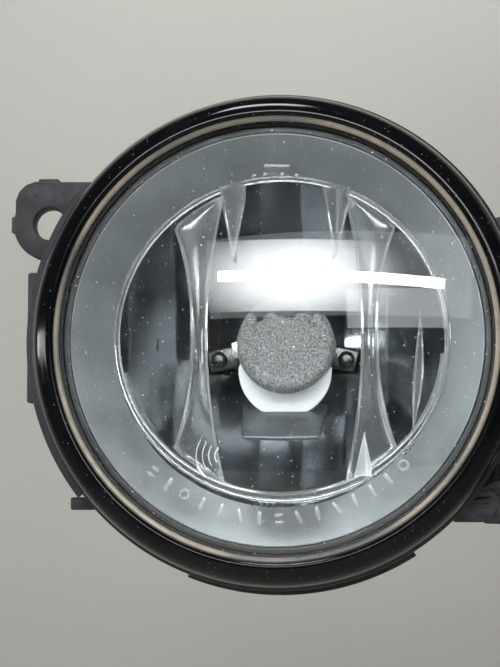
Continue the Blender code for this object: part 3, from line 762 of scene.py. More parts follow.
def make_marks():
    """Plain raised bars, rings and beads on the glass, below and above the patterned middle."""
    marks = Piece("marks")
    random = Random(7)
    reach = 36.2 * MM
    top, foot = 0.70 * MM, 0.5 * MM

    def bead(angle, radius, size):
        x, z = polar(radius, angle)
        y = lens_front(radius)
        marks.lathe([(0, y - top), (size * 0.6, y - top), (size, y), (size, y + foot), (0, y + foot)],
                    segments=20, rounding=0.1 * MM, at=(x, 0, z))

    def ring(angle, radius, size):
        x, z = polar(radius, angle)
        y = lens_front(radius)
        marks.lathe([(size * 0.55, y - top), (size * 0.9, y - top), (size, y + foot),
                     (size * 0.45, y + foot)],
                    segments=28, rounding=0.1 * MM, at=(x, 0, z))

    def bar(angle, radius, length, width, lean):
        y = lens_front(radius)
        x, z = polar(radius, angle)
        marks.box((-length / 2, length / 2), (y - top, y + foot), (-width / 2, width / 2), 0.16 * MM,
                  turn=about_axis(angle + lean), at=(x, 0, z))

    for index in range(15):
        angle = 228 + index * 6.2
        kind = random.choice(("bar", "bar", "pair", "ring", "lean"))
        if kind == "ring":
            ring(angle, reach, 1.25 * MM)
        elif kind == "pair":
            bar(angle, reach + 0.8 * MM, 1.7 * MM, 0.55 * MM, 90)
            bar(angle, reach - 0.7 * MM, 1.7 * MM, 0.55 * MM, 90)
        else:
            bar(angle, reach, 2.7 * MM, 0.75 * MM, 22 if kind == "lean" else 0)
    for angle in (82, 87, 93, 97):
        bead(angle, 32.6 * MM, 0.5 * MM)
    bar(89, 34.4 * MM, 5.2 * MM, 0.5 * MM, 90)
    return marks.object()


def make_bezel():
    """Convex gloss ring with a pale bead at the glass, whose cream is a painted reflection, an outer flange,
    a wider wing and hooks behind.
    """
    inner, crest, outer = 44.0 * MM, 45.8 * MM, 50.4 * MM
    top, side = BEZEL_LOW.y, -15.4 * MM
    flange = 51.2 * MM
    bead = [(inner, -22.05 * MM), (inner, -22.4 * MM), (inner + 0.3 * MM, -22.75 * MM),
            (inner + 0.7 * MM, -22.85 * MM), *mm((45.1, -22.6), (45.1, -21.9))]
    inward = [*mm((45.0, -21.6), (45.0, -22.55)), (45.2 * MM, top + 0.30 * MM),
              (45.5 * MM, top + 0.06 * MM)]
    dome = [(crest + (outer - crest) * sin(radians(a)), side - (side - top) * cos(radians(a)))
            for a in range(0, 91, 5)]
    skirt = [(outer + 0.05 * MM, -14.95 * MM), (flange - 0.35 * MM, -14.75 * MM),
             (flange - 0.08 * MM, -14.5 * MM),
             (flange, -14.1 * MM), (flange, -12.5 * MM), (flange - 0.15 * MM, -12.1 * MM),
             (flange - 0.8 * MM, -11.8 * MM), (flange - 0.8 * MM, -11.2 * MM), (48.9 * MM, -11.2 * MM)]
    inside = mm((48.0, -14.0), (47.6, -17.2), (47.0, -19.9), (45.8, -21.3))
    bezel = Piece("bezel").lathe(inward + dome + skirt + inside, segments=224, rounding=0)
    # The bead's cream colour is a painted reflection.
    bezel.lathe(bead, segments=224, rounding=0, slot=1)
    bezel.sector(50.0 * MM, BEZEL_HIGH.x + 1.2 * MM, 143, 218, mm(-14.1, -12.3), steps=60, slot=2)
    for angle in (45, 135, 225, 315):
        bezel.box(mm(45.8, 49.6), mm(-13.4, -11.7), mm(-4, 4), 0.3 * MM,
                  turn=about_axis(angle))
    obj = bezel.object(sharp=30)
    for polygon in obj.data.polygons:
        if sqrt(polygon.center.x**2 + polygon.center.z**2) > outer + 0.04 * MM:
            polygon.material_index = 2
    return finish(obj, "lamp_unit", ["bezel_ring"], [GLOSS, BEAD_PAINTED_REFLECTION, CARRIER_PLASTIC])


def bowl_point(radius, offset=0.0):
    slope = radius / (2 * FOCAL_LENGTH)
    length = sqrt(1 + slope**2)
    y = VERTEX_Y - radius**2 / (4 * FOCAL_LENGTH)
    return radius + offset * slope / length, y + offset / length


def facet(x, z):
    """How far the reflector's surface stands out at a place: upright strips, each a shallow cylinder."""
    strip = 9.0 * MM
    share = (x / strip + 0.5) % 1.0
    return 0.16 * MM * (4 * share * (1 - share)) - 0.08 * MM


def make_reflector():
    """Mirrored bowl with upright facets, a frosted cone round it and a bright neck for the bulb."""
    segments = 288
    wall = 1.3 * MM
    rows = 54
    bm = bmesh.new()
    outline = [(FLANGE_RADIUS, CONE_Y, 1), (FLANGE_RADIUS - 0.2 * MM, CONE_Y - 0.05 * MM, 1)]
    cone_end = bowl_point(BOWL_RADIUS)
    for step in range(1, 12):
        t = step / 12
        outline.append((FLANGE_RADIUS - 0.2 * MM + (cone_end[0] - FLANGE_RADIUS + 0.2 * MM) * t,
                        CONE_Y - 0.05 * MM + (cone_end[1] - CONE_Y + 0.05 * MM) * t, 1))
    for step in range(rows + 1):
        radius = BOWL_RADIUS + (NECK_RADIUS - BOWL_RADIUS) * step / rows
        outline.append((*bowl_point(radius), 0))
    neck_end = REFLECTOR_HIGH.y
    outline += [(NECK_RADIUS - 0.1 * MM, bowl_point(NECK_RADIUS)[1] + 0.4 * MM, 2),
                (NECK_RADIUS, neck_end, 2),
                (NECK_RADIUS + wall, neck_end, 2)]
    for step in range(13):
        radius = 11.5 * MM + (BOWL_RADIUS - 11.5 * MM) * step / 12
        outline.append((*bowl_point(radius, wall), 2))
    outline += [(REFLECTOR_HIGH.x, CONE_Y + 1.8 * MM, 2), (FLANGE_RADIUS, CONE_Y + 0.45 * MM, 2)]
    rings = []
    for radius, y, slot in outline:
        ring = []
        for step in range(segments):
            angle = 2 * pi * step / segments
            x, z = radius * cos(angle), radius * sin(angle)
            bulge = facet(x, z) if slot == 0 and NECK_RADIUS < radius < BOWL_RADIUS - 0.1 * MM else 0.0
            ring.append(bm.verts.new((x, y - bulge, z)))
        rings.append(ring)
    for index, face in enumerate(bridge(bm, rings, closed=True)):
        face.material_index = outline[index // segments][2]
    reflector = new_object("reflector_bowl", mesh_from(bm, "reflector_bowl", sharp=12))
    return finish(reflector, "lamp_unit", ["reflector"], [MIRROR, SATIN, STEEL])


SHIELD_X, SHIELD_Z = 1.9 * MM, -1.2 * MM      # the shield's middle, beside the optical axis


def make_shield():
    """Pressed cup in front of the filament on two legs with riveted feet, with a bright tray and a stem."""
    front, rim = SHIELD_LOW.y, SHIELD_LOW.y + 8.4 * MM
    radius, sheet = 9.9 * MM, 0.8 * MM
    middle = (SHIELD_X, SHIELD_Z)
    cup = [(0, front + 0.25 * MM), (6.6 * MM, front + 0.25 * MM), (7.4 * MM, front), (9.0 * MM, front),
           (radius, front + 0.9 * MM), (radius, rim), (radius - sheet, rim),
           (radius - sheet, front + sheet + 0.3 * MM),
           (0, front + sheet + 0.3 * MM)]
    shield = Piece("shield").lathe(cup, segments=96, rounding=0.45 * MM, at=(SHIELD_X, 0, SHIELD_Z))
    foot_y = 4.5 * MM
    for angle in LEG_ANGLES:
        turn = about_axis(angle)
        shield.box(mm(8.2, 9.6), (rim - 1.5 * MM, foot_y + sheet), mm(-1.7, 1.7), 0.2 * MM,
                   turn=turn, slot=1)
        shield.box(mm(8.2, 16.2), (foot_y, foot_y + sheet), mm(-2.3, 2.3), 0.25 * MM,
                   turn=turn, slot=4)
    tray_radius, tray_drop = 9.6 * MM, 4.9 * MM
    tray_middle = (middle[0] - 0.5 * MM, middle[1] - tray_drop)
    outline = arc(tray_middle, tray_radius, 176, 364, 40) + arc(middle, radius - 0.7 * MM, 350, 190, 30)
    shield.plate([outline], (rim - 0.9 * MM, rim - 0.1 * MM), 0.25 * MM, corner=0, slot=2)
    stem_top, stem_foot = tray_middle[1] - tray_radius + 1.6 * MM, -19.8 * MM
    lean = Vector((0, foot_y - 1.0 * MM - rim, stem_foot - stem_top))
    tilt = Matrix.Rotation(-Vector((0, 0, -1)).angle(lean), 4, "X")
    stem = [*mm((-9.0, 3.2), (8.6, 3.2)), (7.6 * MM, -lean.length),
            (0, -lean.length - 0.5 * MM),
            (-7.8 * MM, -lean.length)]
    shield.plate([stem], (0, sheet), 0.25 * MM, corner=0.8 * MM, turn=tilt,
                 at=(tray_middle[0], rim, stem_top), slot=3)
    obj = shield.object()
    for polygon in obj.data.polygons:
        if polygon.material_index == 0 and polygon.center.y > front + 1.4 * MM:
            polygon.material_index = 1
    return finish(obj, "lamp_unit", ["bulb_shield"], [SPECKLED, STEEL, WHITE_COAT, DULL_STEEL, DARK_STEEL])


def make_rivets():
    for name, angle in zip(("left", "right"), LEG_ANGLES):
        x, z = polar(14 * MM, angle)
        low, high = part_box("shield_rivet_" + name)
        outline = [(0, low.y), (1.1 * MM, low.y + 0.1 * MM), (1.9 * MM, low.y + 0.85 * MM),
                   (1.1 * MM, low.y + 0.9 * MM),
                   (1.1 * MM, high.y), (0, high.y)]
        rivet = Piece("rivet_" + name).lathe(outline, segments=32, rounding=0.2 * MM, at=(x, 0, z)).object()
        finish(rivet, "lamp_unit", ["shield_rivet_" + name], [DARK_STEEL])


def make_housing():
    """The moulded shell: flange, bowl, neck with bayonet entries, ribs, trunnions, arm and spigot."""
    inside, outside = 2.0 * MM, 4.2 * MM
    front, rear, flange = HOUSING_LOW.y, -13.7 * MM, 46.5 * MM
    groove = -16.4 * MM
    rim = [(flange, front), (45.0 * MM, front), (45.0 * MM, groove), (43.2 * MM, groove), (43.2 * MM, front),
           (41.9 * MM, front), (41.9 * MM, -16.5 * MM)]
    inner = [bowl_point(BOWL_RADIUS + (13.2 * MM - BOWL_RADIUS) * step / 12, inside) for step in range(13)]
    cavity = [*mm((13.6, 10.0), (13.6, 22.0), (10.0, 22.0)), (10.0 * MM, NECK_END_Y),
              (NECK_OUTER - 0.4 * MM, NECK_END_Y), (NECK_OUTER, NECK_END_Y - 0.4 * MM),
              (NECK_OUTER, 10.0 * MM)]
    outer = [bowl_point(17.0 * MM + (BOWL_RADIUS - 17.0 * MM) * step / 20, outside) for step in range(21)]
    back = [(41.6 * MM, rear - 0.2 * MM), (42.4 * MM, rear), (flange, rear)]
    shell = Piece("shell").lathe(rim + inner + cavity + outer + back, segments=160,
                                 rounding=0.15 * MM).object()
    entries = Piece("entries")
    for angle, half in LUG_SLOTS:
        entries.sector(9.0 * MM, 12.7 * MM, angle - half, angle + half, mm(21.0, 26.0))
    boolean(shell, entries.object())
    parts = Piece("parts")
    add_trunnions(parts)
    add_arm(parts)
    add_ribs(parts)
    add_spigot(parts)
    housing = merged("housing_shell", [shell, parts.object()])
    return finish(housing, "lamp_unit", ["housing"], [HOUSING_PLASTIC])


def add_trunnions(parts):
    for turn, side in ((ALONG_X, 1), (ALONG_LEFT, -1)):
        boss = [*mm((0, 26), (5.0, 26)), (5.0 * MM, SHOULDER_X), (3.0 * MM, SHOULDER_X),
                (3.0 * MM, PIN_END_X), (0, PIN_END_X)]
        parts.lathe(boss, segments=48, rounding=0.4 * MM, turn=turn, at=(0, PIVOT_Y, 0))
        x = beside(side, 24.0 * MM, 31.0 * MM)
        parts.box(x, (PIVOT_Y - 1.0 * MM, PIVOT_Y + 4.5 * MM), mm(-5.0, 5.0), 0.6 * MM)
        x = beside(side, 27.0 * MM, 44.0 * MM)
        parts.box(x, (PIVOT_Y - 4.6 * MM, PIVOT_Y + 4.6 * MM), mm(-0.9, 0.9), 0.3 * MM)


def add_arm(parts):
    """The lever that the aiming nut moves, with a fork open at the top and a stiffening web."""
    half, gap, prong = 4.0 * MM, 0.3 * MM, 3.0 * MM
    left, right = SCREW_X - half - gap, SCREW_X + half + gap
    top, bottom = SCREW_Z + 5.0 * MM, SCREW_Z - half - 0.6 * MM
    outline = [*mm((12.0, 11.0), (15.2, 5.8), (45.0, 11.4)),
               (right + prong, 12.2 * MM),
               (right + prong, top), (right, top), (right, bottom), (left, bottom), (left, top),
               (left - prong, top), (left - prong, SCREW_Z - 4.0 * MM)]
    parts.plate([outline], ARM_Y, 0.35 * MM, corner=1.0 * MM)
    web = mm((19.6, 12.4), (20.2, 10.4), (44.0, 14.8), (43.6, 16.7))
    parts.plate([web], (ARM_Y[0] - 4.0 * MM, ARM_Y[0] + 0.5 * MM), 0.3 * MM, corner=0.3 * MM)


def add_ribs(parts):
    for angle in (75, 120, 225, 270, 315):
        outline = mm((15.5, 19.0), (18.2, 19.0), (33.5, -4.0), (32.5, -6.0), (15.5, 11.0))
        flat = Matrix.Rotation(radians(90), 4, "X")
        parts.plate([outline], mm(-0.8, 0.8), 0.25 * MM, corner=0.8 * MM,
                    turn=about_axis(angle) @ flat.inverted())


def add_spigot(parts):
    outline = mm((1.4, 15.8), (2.6, 15.8), (2.6, 23.0), (2.3, 23.5), (1.4, 23.5))
    parts.lathe(outline, segments=36, rounding=0.1 * MM, turn=ALONG_Z, at=(0, SPIGOT_Y, 0))


def make_vent_cap():
    """Ribbed rubber cap on the breather spigot."""
    low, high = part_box("vent_cap")
    wall, bore, ridge = 4.0 * MM, 2.9 * MM, 4.4 * MM
    rings = []
    for step in range(4):
        base = low.z + (0.5 + 1.3 * step) * MM
        rings += [(wall, base), (ridge, base + 0.25 * MM), (ridge, base + 0.6 * MM), (wall, base + 0.85 * MM)]
    crown = 24.6 * MM
    outline = [(0, crown), (bore, crown), (bore, low.z), (wall, low.z)] + rings + [
        (wall - 0.4 * MM, high.z - 0.7 * MM), (2.2 * MM, high.z), (0, high.z)]
    cap = Piece("breather_cap").lathe(outline, segments=64, rounding=0.15 * MM, turn=ALONG_Z,
                                      at=(0, SPIGOT_Y, 0))
    return finish(cap.object(), "lamp_unit", ["vent_cap"], [RUBBER])


# ---- bulb ----
def make_bulb_base():
    """Plug with bayonet lugs, flange, body with grip wings, and the connector's hood pointing down."""
    base = Piece("head")
    plug = [*mm((0, 18.0), (9.6, 18.0), (9.6, 27.2), (13.6, 27.2), (13.6, 29.2), (9.4, 29.2), (9.0, 29.8)),
            (9.0 * MM, BASE_HIGH.y - 2.3 * MM),
            (8.4 * MM, BASE_HIGH.y - 1.7 * MM), (0, BASE_HIGH.y - 1.7 * MM)]
    base.lathe(plug, segments=96, rounding=0.3 * MM)
    for angle, half in LUGS:
        base.sector(8.0 * MM, 12.2 * MM, angle - half, angle + half, mm(18.7, 21.6))
    base.box(mm(-14.5, 14.5), mm(28.8, 37.0), mm(-1.1, 1.1), 0.5 * MM)
    for step in range(-3, 4):
        base.box(mm(-3.6, 3.6), mm(40.0, 40.9), (step * 1.5 * MM - 0.35 * MM, step * 1.5 * MM + 0.35 * MM),
                 0.2 * MM)
    hood = Piece("hood").box(mm(-9.0, 9.0), mm(28.5, 40.5), (BASE_LOW.z, -2.0 * MM), 0.9 * MM).object()
    socket = Piece("socket").box(mm(-7.4, 7.4), mm(30.2, 38.8), mm(-30, -10.0),
                                 0.5 * MM).object()
    boolean(hood, socket)
    trim = Piece("trim")
    trim.box(mm(-3.0, 3.0), (40.0 * MM, BASE_HIGH.y), mm(-20.0, -17.5), 0.3 * MM)
    for side in (-1, 1):
        x = beside(side, 8.6 * MM, 9.6 * MM)
        for step in range(3):
            z = (-22.0 + 2.6 * step) * MM
            trim.box(x, mm(31.0, 38.0), (z, z + 1.1 * MM), 0.25 * MM)
    collar = merged("connector_head", [base.object(), hood, trim.object()])
    return finish(collar, "bulb", ["bulb_base"], [BASE_PLASTIC])


def make_bulb():
    make_bulb_base()
    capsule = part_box("bulb_glass")
    tip, end, outer, wall = capsule[0].y, capsule[1].y, capsule[1].x, 0.9 * MM
    outside = [(outer * sin(radians(a)), tip + 6.0 * MM - 6.0 * MM * cos(radians(a))) for a in range(0, 91,
                                                                                                     9)]
    outside[0] = (0, tip)
    inside = [((outer - wall) * sin(radians(a)), tip + 6.4 * MM - 5.2 * MM * cos(radians(a)))
              for a in range(90, -1, -9)]
    inside[-1] = (0, tip + 1.2 * MM)
    outline = outside + [(outer, end), (outer - wall, end)] + inside
    glass = Piece("capsule").lathe(outline, segments=96, rounding=0).object(sharp=60)
    finish(glass, "bulb", ["bulb_glass"], [CAPSULE])
    make_filament()
    for name, material in (("bulb_clamp", STEEL), ("bulb_seal", ORANGE), ("terminal_left", BRASS),
                           ("terminal_right", BRASS), ("lead_front", TUNGSTEN), ("lead_rear", TUNGSTEN)):
        dress(name, material)


def make_filament():
    low, high = FILAMENT_LOW, FILAMENT_HIGH
    turns, per_turn, coil, wire = 13, 20, 0.62 * MM, 0.13 * MM
    length = high.y - low.y - 2 * wire
    points = []
    for step in range(turns * per_turn + 1):
        a = 2 * pi * step / per_turn
        points.append((coil * cos(a), low.y + wire + length * step / (turns * per_turn), coil * sin(a)))
    obj = tube_along("coil", points, wire, resolution=2)
    return finish(obj, "bulb", ["filament"], [TUNGSTEN])


def dress(node, material):
    """Gives a CAD node that stays its finished material."""
    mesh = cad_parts[node].data
    mesh.materials.clear()
    mesh.materials.append(material)


# ---- carrier ----
def ear_outline(hole, side):
    """The ear's edge: a round end with a fuller corner, and a straight flank that runs in behind the ring."""
    corner = mm((12.0, 9.1), (-3.4, 9.4), (-5.3, 8.7), (-6.8, 7.3), (-7.6, 5.3))
    edge = corner + arc((0, 0), EAR_RADIUS, 162, 285, 22)
    root = [polar(46.6 * MM, angle + (180 if side > 0 else 0)) for angle in (162, 137)]
    return [(hole[0] - side * dx, hole[1] - side * dz) for dx, dz in edge] + root


def add_ear(parts, hole, side):
    hole_edge = circle(hole, EAR_HOLE)
    parts.plate([ear_outline(hole, side), hole_edge], (0, EAR_THICKNESS), 0.4 * MM, corner=0)
    collar = [(EAR_HOLE + 0.1 * MM, 3.4 * MM), (EAR_HOLE + 2.0 * MM, 3.4 * MM),
              (EAR_HOLE + 1.7 * MM, 4.6 * MM),
              (EAR_HOLE + 0.1 * MM, 4.6 * MM)]
    parts.lathe(collar, segments=64, rounding=0.3 * MM, at=(hole[0], 0, hole[1]))


def pocket(side):
    """The room that a trunnion's shoulder turns in."""
    x = beside(side, 40.0 * MM, CHEEK_INNER_X)
    return Piece("pocket").box(x, mm(-3.5, 20), mm(-6.8, 6.8), 0.5 * MM).object()


def circle(centre, radius):
    return arc(centre, radius, 0, 350, 35)


def add_cheek(side):
    """A side wall with the pivot's pocket and hole."""
    top = (15.3 if side < 0 else 9.5) * MM
    x = beside(side, 46.2 * MM, CHEEK_OUTER_X)
    wall = Piece("cheek").box(x, (RING_FRONT_Y, 9.5 * MM), (-12.5 * MM, top), 0.6 * MM).object()
    boolean(wall, pocket(side))
    hole = Piece("hole").lathe(mm((0, 0), (4.6, 0), (4.6, 60), (0, 60)), segments=64, rounding=0,
                               turn=ALONG_X if side > 0 else ALONG_LEFT, at=(0, PIVOT_Y, 0)).object()
    return boolean(wall, hole)


def make_carrier():
    """The fixed moulding: ring, ears, the pivots' cheeks, the screw's bracket and locating features."""
    ring = Piece("ring").lathe([(RING_INNER, RING_FRONT_Y), (RING_OUTER, RING_FRONT_Y),
                                (RING_OUTER, RING_REAR_Y),
                                (RING_INNER, RING_REAR_Y)], segments=192, rounding=0.45 * MM).object()
    for side in (-1, 1):
        boolean(ring, pocket(side))
    parts = Piece("parts")
    add_ear(parts, LEFT_EAR, -1)
    add_ear(parts, RIGHT_EAR, 1)
    add_screw_bracket(parts)
    add_right_plate(parts)
    add_locating_features(parts)
    carrier = merged("carrier_moulding", [ring, add_cheek(-1), add_cheek(1), parts.object()])
    return finish(carrier, "carrier", ["carrier"], [CARRIER_PLASTIC])


def add_screw_bracket(parts):
    centre = (SCREW_X, SCREW_Z)
    outline = arc(centre, 7.0 * MM, -75, 105, 20) + [polar(46.6 * MM, 34), polar(46.6 * MM, 13)]
    parts.plate([outline, circle(centre, 2.9 * MM)], mm(0, 3.0), 0.35 * MM, corner=0)


def add_right_plate(parts):
    steps = mm((36.6, -37.6), (43.4, -37.6), (43.4, -36.9), (55.0, -36.9), (56.5, -16.5), (45.0, -9.0),
               (31.0, -34.5))
    middle, outer, inner = mm(43.7, -33.0), 1.7 * MM, 1.0 * MM
    groove = (arc(middle, outer, -90, 90, 12) + [(40.0 * MM, middle[1] + outer),
                                                 (40.0 * MM, middle[1] + inner)]
              + arc(middle, inner, 90, -90, 12) + [(40.0 * MM, middle[1] - inner),
                                                   (40.0 * MM, middle[1] - outer)])
    hole = circle(RIGHT_EAR, EAR_HOLE)
    parts.plate([steps, hole], mm(1.2, 3.0), 0.3 * MM, corner=0.3 * MM)
    parts.plate([steps, groove, hole], mm(0, 1.4), 0.2 * MM, corner=0.15 * MM)


def add_locating_features(parts):
    parts.sector(47.0 * MM, 52.5 * MM, 248.5, 302.5, (RING_FRONT_Y, 0.0), steps=40)
    parts.box(mm(-45.5, -32.5), mm(0, 6.0), mm(-35.2, -32.5), 0.5 * MM)
    parts.sector(47.0 * MM, 54.0 * MM, 201.5, 204.5, mm(-4.0, 1.0), steps=3)
    parts.box(mm(-51.3, -41.5), mm(-2.0, 2.8), mm(-18.0, -10.5), 0.5 * MM)
    top = LEFT_EAR[1] + 9.5 * MM
    parts.box((LEFT_EAR[0] - 2.6 * MM, LEFT_EAR[0] + 1.8 * MM), mm(0.4, 3.1),
              (top - 1.5 * MM, top + 0.5 * MM),
              0.25 * MM)
    left = LEFT_EAR[0] - EAR_RADIUS
    parts.box((left - 0.5 * MM, left + 1.2 * MM), mm(0.4, 3.1),
              (LEFT_EAR[1] - 1.8 * MM, LEFT_EAR[1] + 1.7 * MM),
              0.25 * MM)
    for angle in (60, 78, 102, 120, 200, 222, 240, 318, 332):
        x, z = polar(RING_OUTER - 0.3 * MM, angle)
        parts.box(mm(-1.0, 1.3), (-1.5 * MM, RING_REAR_Y), mm(-0.7, 0.7), 0.3 * MM,
                  turn=about_axis(angle), at=(x, 0, z))


# ---- aiming screw ----
def make_screw():
    """Threaded shaft with a six-sided drive, which the toothed wheel is pressed on."""
    radius, low, high = (SCREW_HIGH.x - SCREW_LOW.x) / 2, SCREW_LOW.y, SCREW_HIGH.y
    pitch, depth, per_turn = 1.25 * MM, 0.35 * MM, 28
    start = 4.6 * MM
    at = (SCREW_X, 0, SCREW_Z)
    core = [(0, low), (radius, low), (radius, start), (radius - depth, start + 0.3 * MM),
            (radius - depth, high - 0.5 * MM), (radius - 2 * depth, high), (0, high)]
    shaft = Piece("shaft").lathe(core, segments=48, rounding=0.1 * MM, at=at).object()
    drive = Piece("drive").lathe([(0, low - 1 * MM), (1.4 * MM, low - 1 * MM), (1.4 * MM, low + 2.2 * MM),
                                  (0, low + 2.2 * MM)], segments=6, rounding=0, at=at).object()
    boolean(shaft, drive)
    bm = bmesh.new()
    rows = []
    steps = int((high - start - pitch) / pitch * per_turn)
    for step in range(steps + 1):
        a = 2 * pi * step / per_turn
        y = start + 0.3 * MM + pitch * step / per_turn
        section = ((radius - depth - 0.1 * MM, -0.5), (radius, -0.08), (radius, 0.08),
                   (radius - depth - 0.1 * MM, 0.5))
        rows.append([bm.verts.new((r * cos(a), y + dy * pitch, r * sin(a))) for r, dy in section])
    bridge(bm, rows)
    bm.faces.new(rows[0])
    bm.faces.new(rows[-1][::-1])
    bmesh.ops.translate(bm, vec=at, verts=bm.verts)
    thread = new_object("thread", mesh_from(bm, "thread"))
    screw = merged("threaded_shaft", [shaft, thread])
    return finish(screw, "adjuster", ["adjuster_screw"], [ZINC])


def make_knob():
    """Toothed wheel with a raised hub."""
    centre = (SCREW_X, SCREW_Z)
    teeth, points_per_tooth, bore = 12, 6, 2.75 * MM
    outline = []
    for step in range(teeth * points_per_tooth):
        turn = 360 * step / (teeth * points_per_tooth)
        reach = (5.45 + 0.55 * cos(radians(turn * teeth))) * MM
        dx, dz = polar(reach, turn)
        outline.append((centre[0] + dx, centre[1] + dz))
    knob = Piece("toothed_wheel")
    knob.plate([outline, circle(centre, bore)], (KNOB_LOW.y + 0.6 * MM, KNOB_HIGH.y - 0.6 * MM),
               0.3 * MM, corner=0)
    hub = [(bore, KNOB_LOW.y), (4.2 * MM, KNOB_LOW.y), (4.4 * MM, KNOB_LOW.y + 1.0 * MM),
           (4.4 * MM, KNOB_HIGH.y), (bore, KNOB_HIGH.y)]
    knob.lathe(hub, segments=64, rounding=0.25 * MM, at=(SCREW_X, 0, SCREW_Z))
    return finish(knob.object(), "adjuster", ["adjuster_knob"], [NYLON])


def make_nut():
    """Spool with a square waist between two round flanges."""
    centre = (SCREW_X, SCREW_Z)
    flange, half = (NUT_HIGH.x - NUT_LOW.x) / 2, 4.0 * MM
    rim = 1.2 * MM
    bore = circle(centre, 2.8 * MM)
    square = [(SCREW_X - half, SCREW_Z - half), (SCREW_X + half, SCREW_Z - half),
              (SCREW_X + half, SCREW_Z + half),
              (SCREW_X - half, SCREW_Z + half)]
    nut = Piece("aiming_nut")
    nut.plate([square, bore], (NUT_LOW.y + 0.9 * MM, NUT_HIGH.y - 0.9 * MM), 0.2 * MM, corner=0.4 * MM)
    for near in (NUT_LOW.y, NUT_HIGH.y - rim):
        nut.plate([arc(centre, flange, 0, 354, 59), bore], (near, near + rim), 0.25 * MM, corner=0)
    return finish(nut.object(), "adjuster_nut", ["adjuster_nut"], [NYLON])


# ---- stage, lights and camera ----
CAMERA_AZIMUTH, CAMERA_ELEVATION = 3.7, -4.5
CAMERA_DISTANCE = 0.332
CAMERA_FIELD = 22.86                  # degrees, from the frame's bottom to its top
CAMERA_ASIDE, CAMERA_RAISE = -5.03 * MM, 0.785 * MM
FLOOR_Z = -0.55
WALL_Y = 0.62


def towards(azimuth, elevation):
    """A direction seen from the lamp: azimuth from straight ahead (-Y) towards +X."""
    a, e = radians(azimuth), radians(elevation)
    return Vector((sin(a) * cos(e), -cos(a) * cos(e), sin(e)))


def aim(obj, target, roll=0):
    turn = (Vector(target) - obj.location).to_track_quat("-Z", "Y").to_matrix()
    obj.rotation_euler = (turn @ Matrix.Rotation(radians(roll), 3, "Z")).to_euler()


def make_camera():
    data = bpy.data.cameras.new("camera")
    data.sensor_fit = "VERTICAL"
    data.angle = radians(CAMERA_FIELD)
    camera = bpy.data.objects.new("camera", data)
    bpy.context.scene.collection.objects.link(camera)
    centre = Vector((0, LENS_EDGE_Y, 0))
    camera.location = centre + towards(CAMERA_AZIMUTH, CAMERA_ELEVATION) * CAMERA_DISTANCE
    right = Vector((cos(radians(CAMERA_AZIMUTH)), sin(radians(CAMERA_AZIMUTH)), 0))
    aim(camera, centre + right * CAMERA_ASIDE + Vector((0, 0, CAMERA_RAISE)))
    bpy.context.scene.camera = camera


def make_light(name, azimuth, elevation, distance, size, power, colour=(0.95, 0.98, 1.0), target=None, roll=0,
               spread=180, mirrored=True):
    """A soft rectangular lamp, aimed at the glass from a direction and a distance; angles are in degrees."""
    data = bpy.data.lights.new(name, "AREA")
    data.shape = "RECTANGLE"
    data.size, data.size_y = size
    data.energy = power
    data.color = colour
    data.spread = radians(spread)
    light = bpy.data.objects.new(name, data)
    bpy.context.scene.collection.objects.link(light)
    light.visible_camera = False
    light.visible_glossy = mirrored
    centre = Vector((0, LENS_EDGE_Y, 0))
    light.location = centre + towards(azimuth, elevation) * distance
    aim(light, target or centre, roll)
    return data


def fade(data, across, up):
    """Dims an area light smoothly from its middle, to nothing at these shares of its width and height."""
    data.use_nodes = True
    tree = data.node_tree

    def math(kind, operation, *inputs):
        made = tree.nodes.new(kind)
        made.operation = operation
        for socket, value in zip(made.inputs, inputs):
            if isinstance(value, bpy.types.NodeSocket):
                tree.links.new(value, socket)
            else:
                socket.default_value = value
        return made.outputs

    place = tree.nodes.new("ShaderNodeNewGeometry").outputs["Parametric"]
    centred = math("ShaderNodeVectorMath", "SUBTRACT", place, (0.5, 0.5, 0.0))["Vector"]
    scaled = math("ShaderNodeVectorMath", "DIVIDE", centred, (across, up, 1.0))["Vector"]
    away = math("ShaderNodeVectorMath", "DOT_PRODUCT", scaled, scaled)["Value"]
    left = math("ShaderNodeMath", "SUBTRACT", 1.0, away)["Value"]
    left.node.use_clamp = True
    soft = math("ShaderNodeMath", "POWER", left, 2.0)["Value"]
    tree.links.new(soft, tree.nodes["Emission"].inputs["Strength"])


def make_stage():
    """A pale surface that runs on from the floor up the back."""
    width, near, bend, steps = 1.6, -1.6, 0.25, 16
    profile = [(near, FLOOR_Z), (WALL_Y - bend, FLOOR_Z)]
    profile += [(WALL_Y - bend + bend * sin(radians(a)), FLOOR_Z + bend - bend * cos(radians(a)))
                for a in [90 * step / steps for step in range(1, steps)]]
    profile += [(WALL_Y, FLOOR_Z + bend), (WALL_Y, 0.9)]
    bm = bmesh.new()
    rows = [[bm.verts.new((x, y, z)) for x in (-width, width)] for y, z in profile]
    bridge(bm, rows, around=False)
    mesh = bpy.data.meshes.new("cove")
    bm.to_mesh(mesh)
    bm.free()
    mesh.shade_smooth()
    mesh.materials.append(stage_material())
    new_object("cove", mesh)


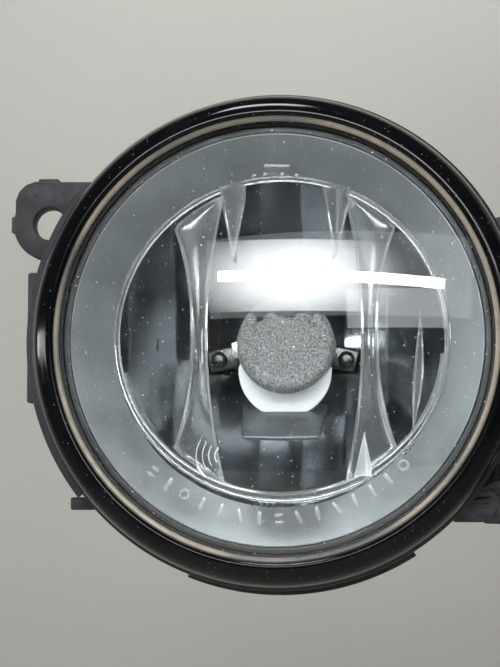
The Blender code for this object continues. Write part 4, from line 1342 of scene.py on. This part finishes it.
def make_world():
    """Dim surroundings, with a pale backdrop where the camera looks past the stage."""
    world = bpy.data.worlds.new("world")
    world.use_nodes = True
    tree = world.node_tree
    dim = tree.nodes["Background"]
    dim.inputs["Color"].default_value = (0.93, 0.96, 1.0, 1.0)
    dim.inputs["Strength"].default_value = 0.04
    pale = tree.nodes.new("ShaderNodeBackground")
    pale.inputs["Color"].default_value = (1.0, 0.98, 0.94, 1.0)
    pale.inputs["Strength"].default_value = 0.55
    path = tree.nodes.new("ShaderNodeLightPath")
    blend = tree.nodes.new("ShaderNodeMixShader")
    tree.links.new(path.outputs["Is Camera Ray"], blend.inputs[0])
    tree.links.new(dim.outputs[0], blend.inputs[1])
    tree.links.new(pale.outputs[0], blend.inputs[2])
    tree.links.new(blend.outputs[0], tree.nodes["World Output"].inputs["Surface"])
    bpy.context.scene.world = world


make_camera()
make_world()
make_stage()
make_light("tube", 6.5, 15.0, 1.5, (1.07, 0.052), power=4.4, colour=(1, 1, 1), roll=-2.3)
make_light("panel", 8.0, 15.5, 1.6, (1.35, 0.42), power=1.6)
fade(make_light("glow", 0.0, 15.2, 1.55, (1.19, 0.346), power=16), across=0.5, up=0.86)
make_light("panel_right", 18.0, 9.3, 1.5, (0.46, 0.18), power=0.6)
make_light("key", -20, 72, 1.2, (0.40, 0.30), power=9, colour=(0.93, 0.97, 1.0))
make_light("strip", -76, 3, 0.8, (1.0, 0.08), power=3.2)
make_light("backdrop", 135, 55, 0.75, (0.5, 0.3), power=0.48, colour=(0.92, 0.96, 1.0),
           target=(0.05, WALL_Y, 0.40), spread=66, mirrored=False)
make_light("rear_fill", 195, 30, 0.6, (0.5, 0.3), power=1.6, colour=(1, 1, 1), spread=80, mirrored=False)
bpy.context.scene.view_settings.view_transform = "Standard"

for make in (make_glass, make_bezel, make_reflector, make_shield, make_rivets, make_housing, make_vent_cap,
             make_bulb, make_carrier, make_screw, make_knob, make_nut):
    make()
for name, material in (("lens_gasket", RUBBER), ("pivot_bush_left", NYLON), ("pivot_bush_right", NYLON),
                       ("adjuster_retainer", STEEL)):
    dress(name, material)
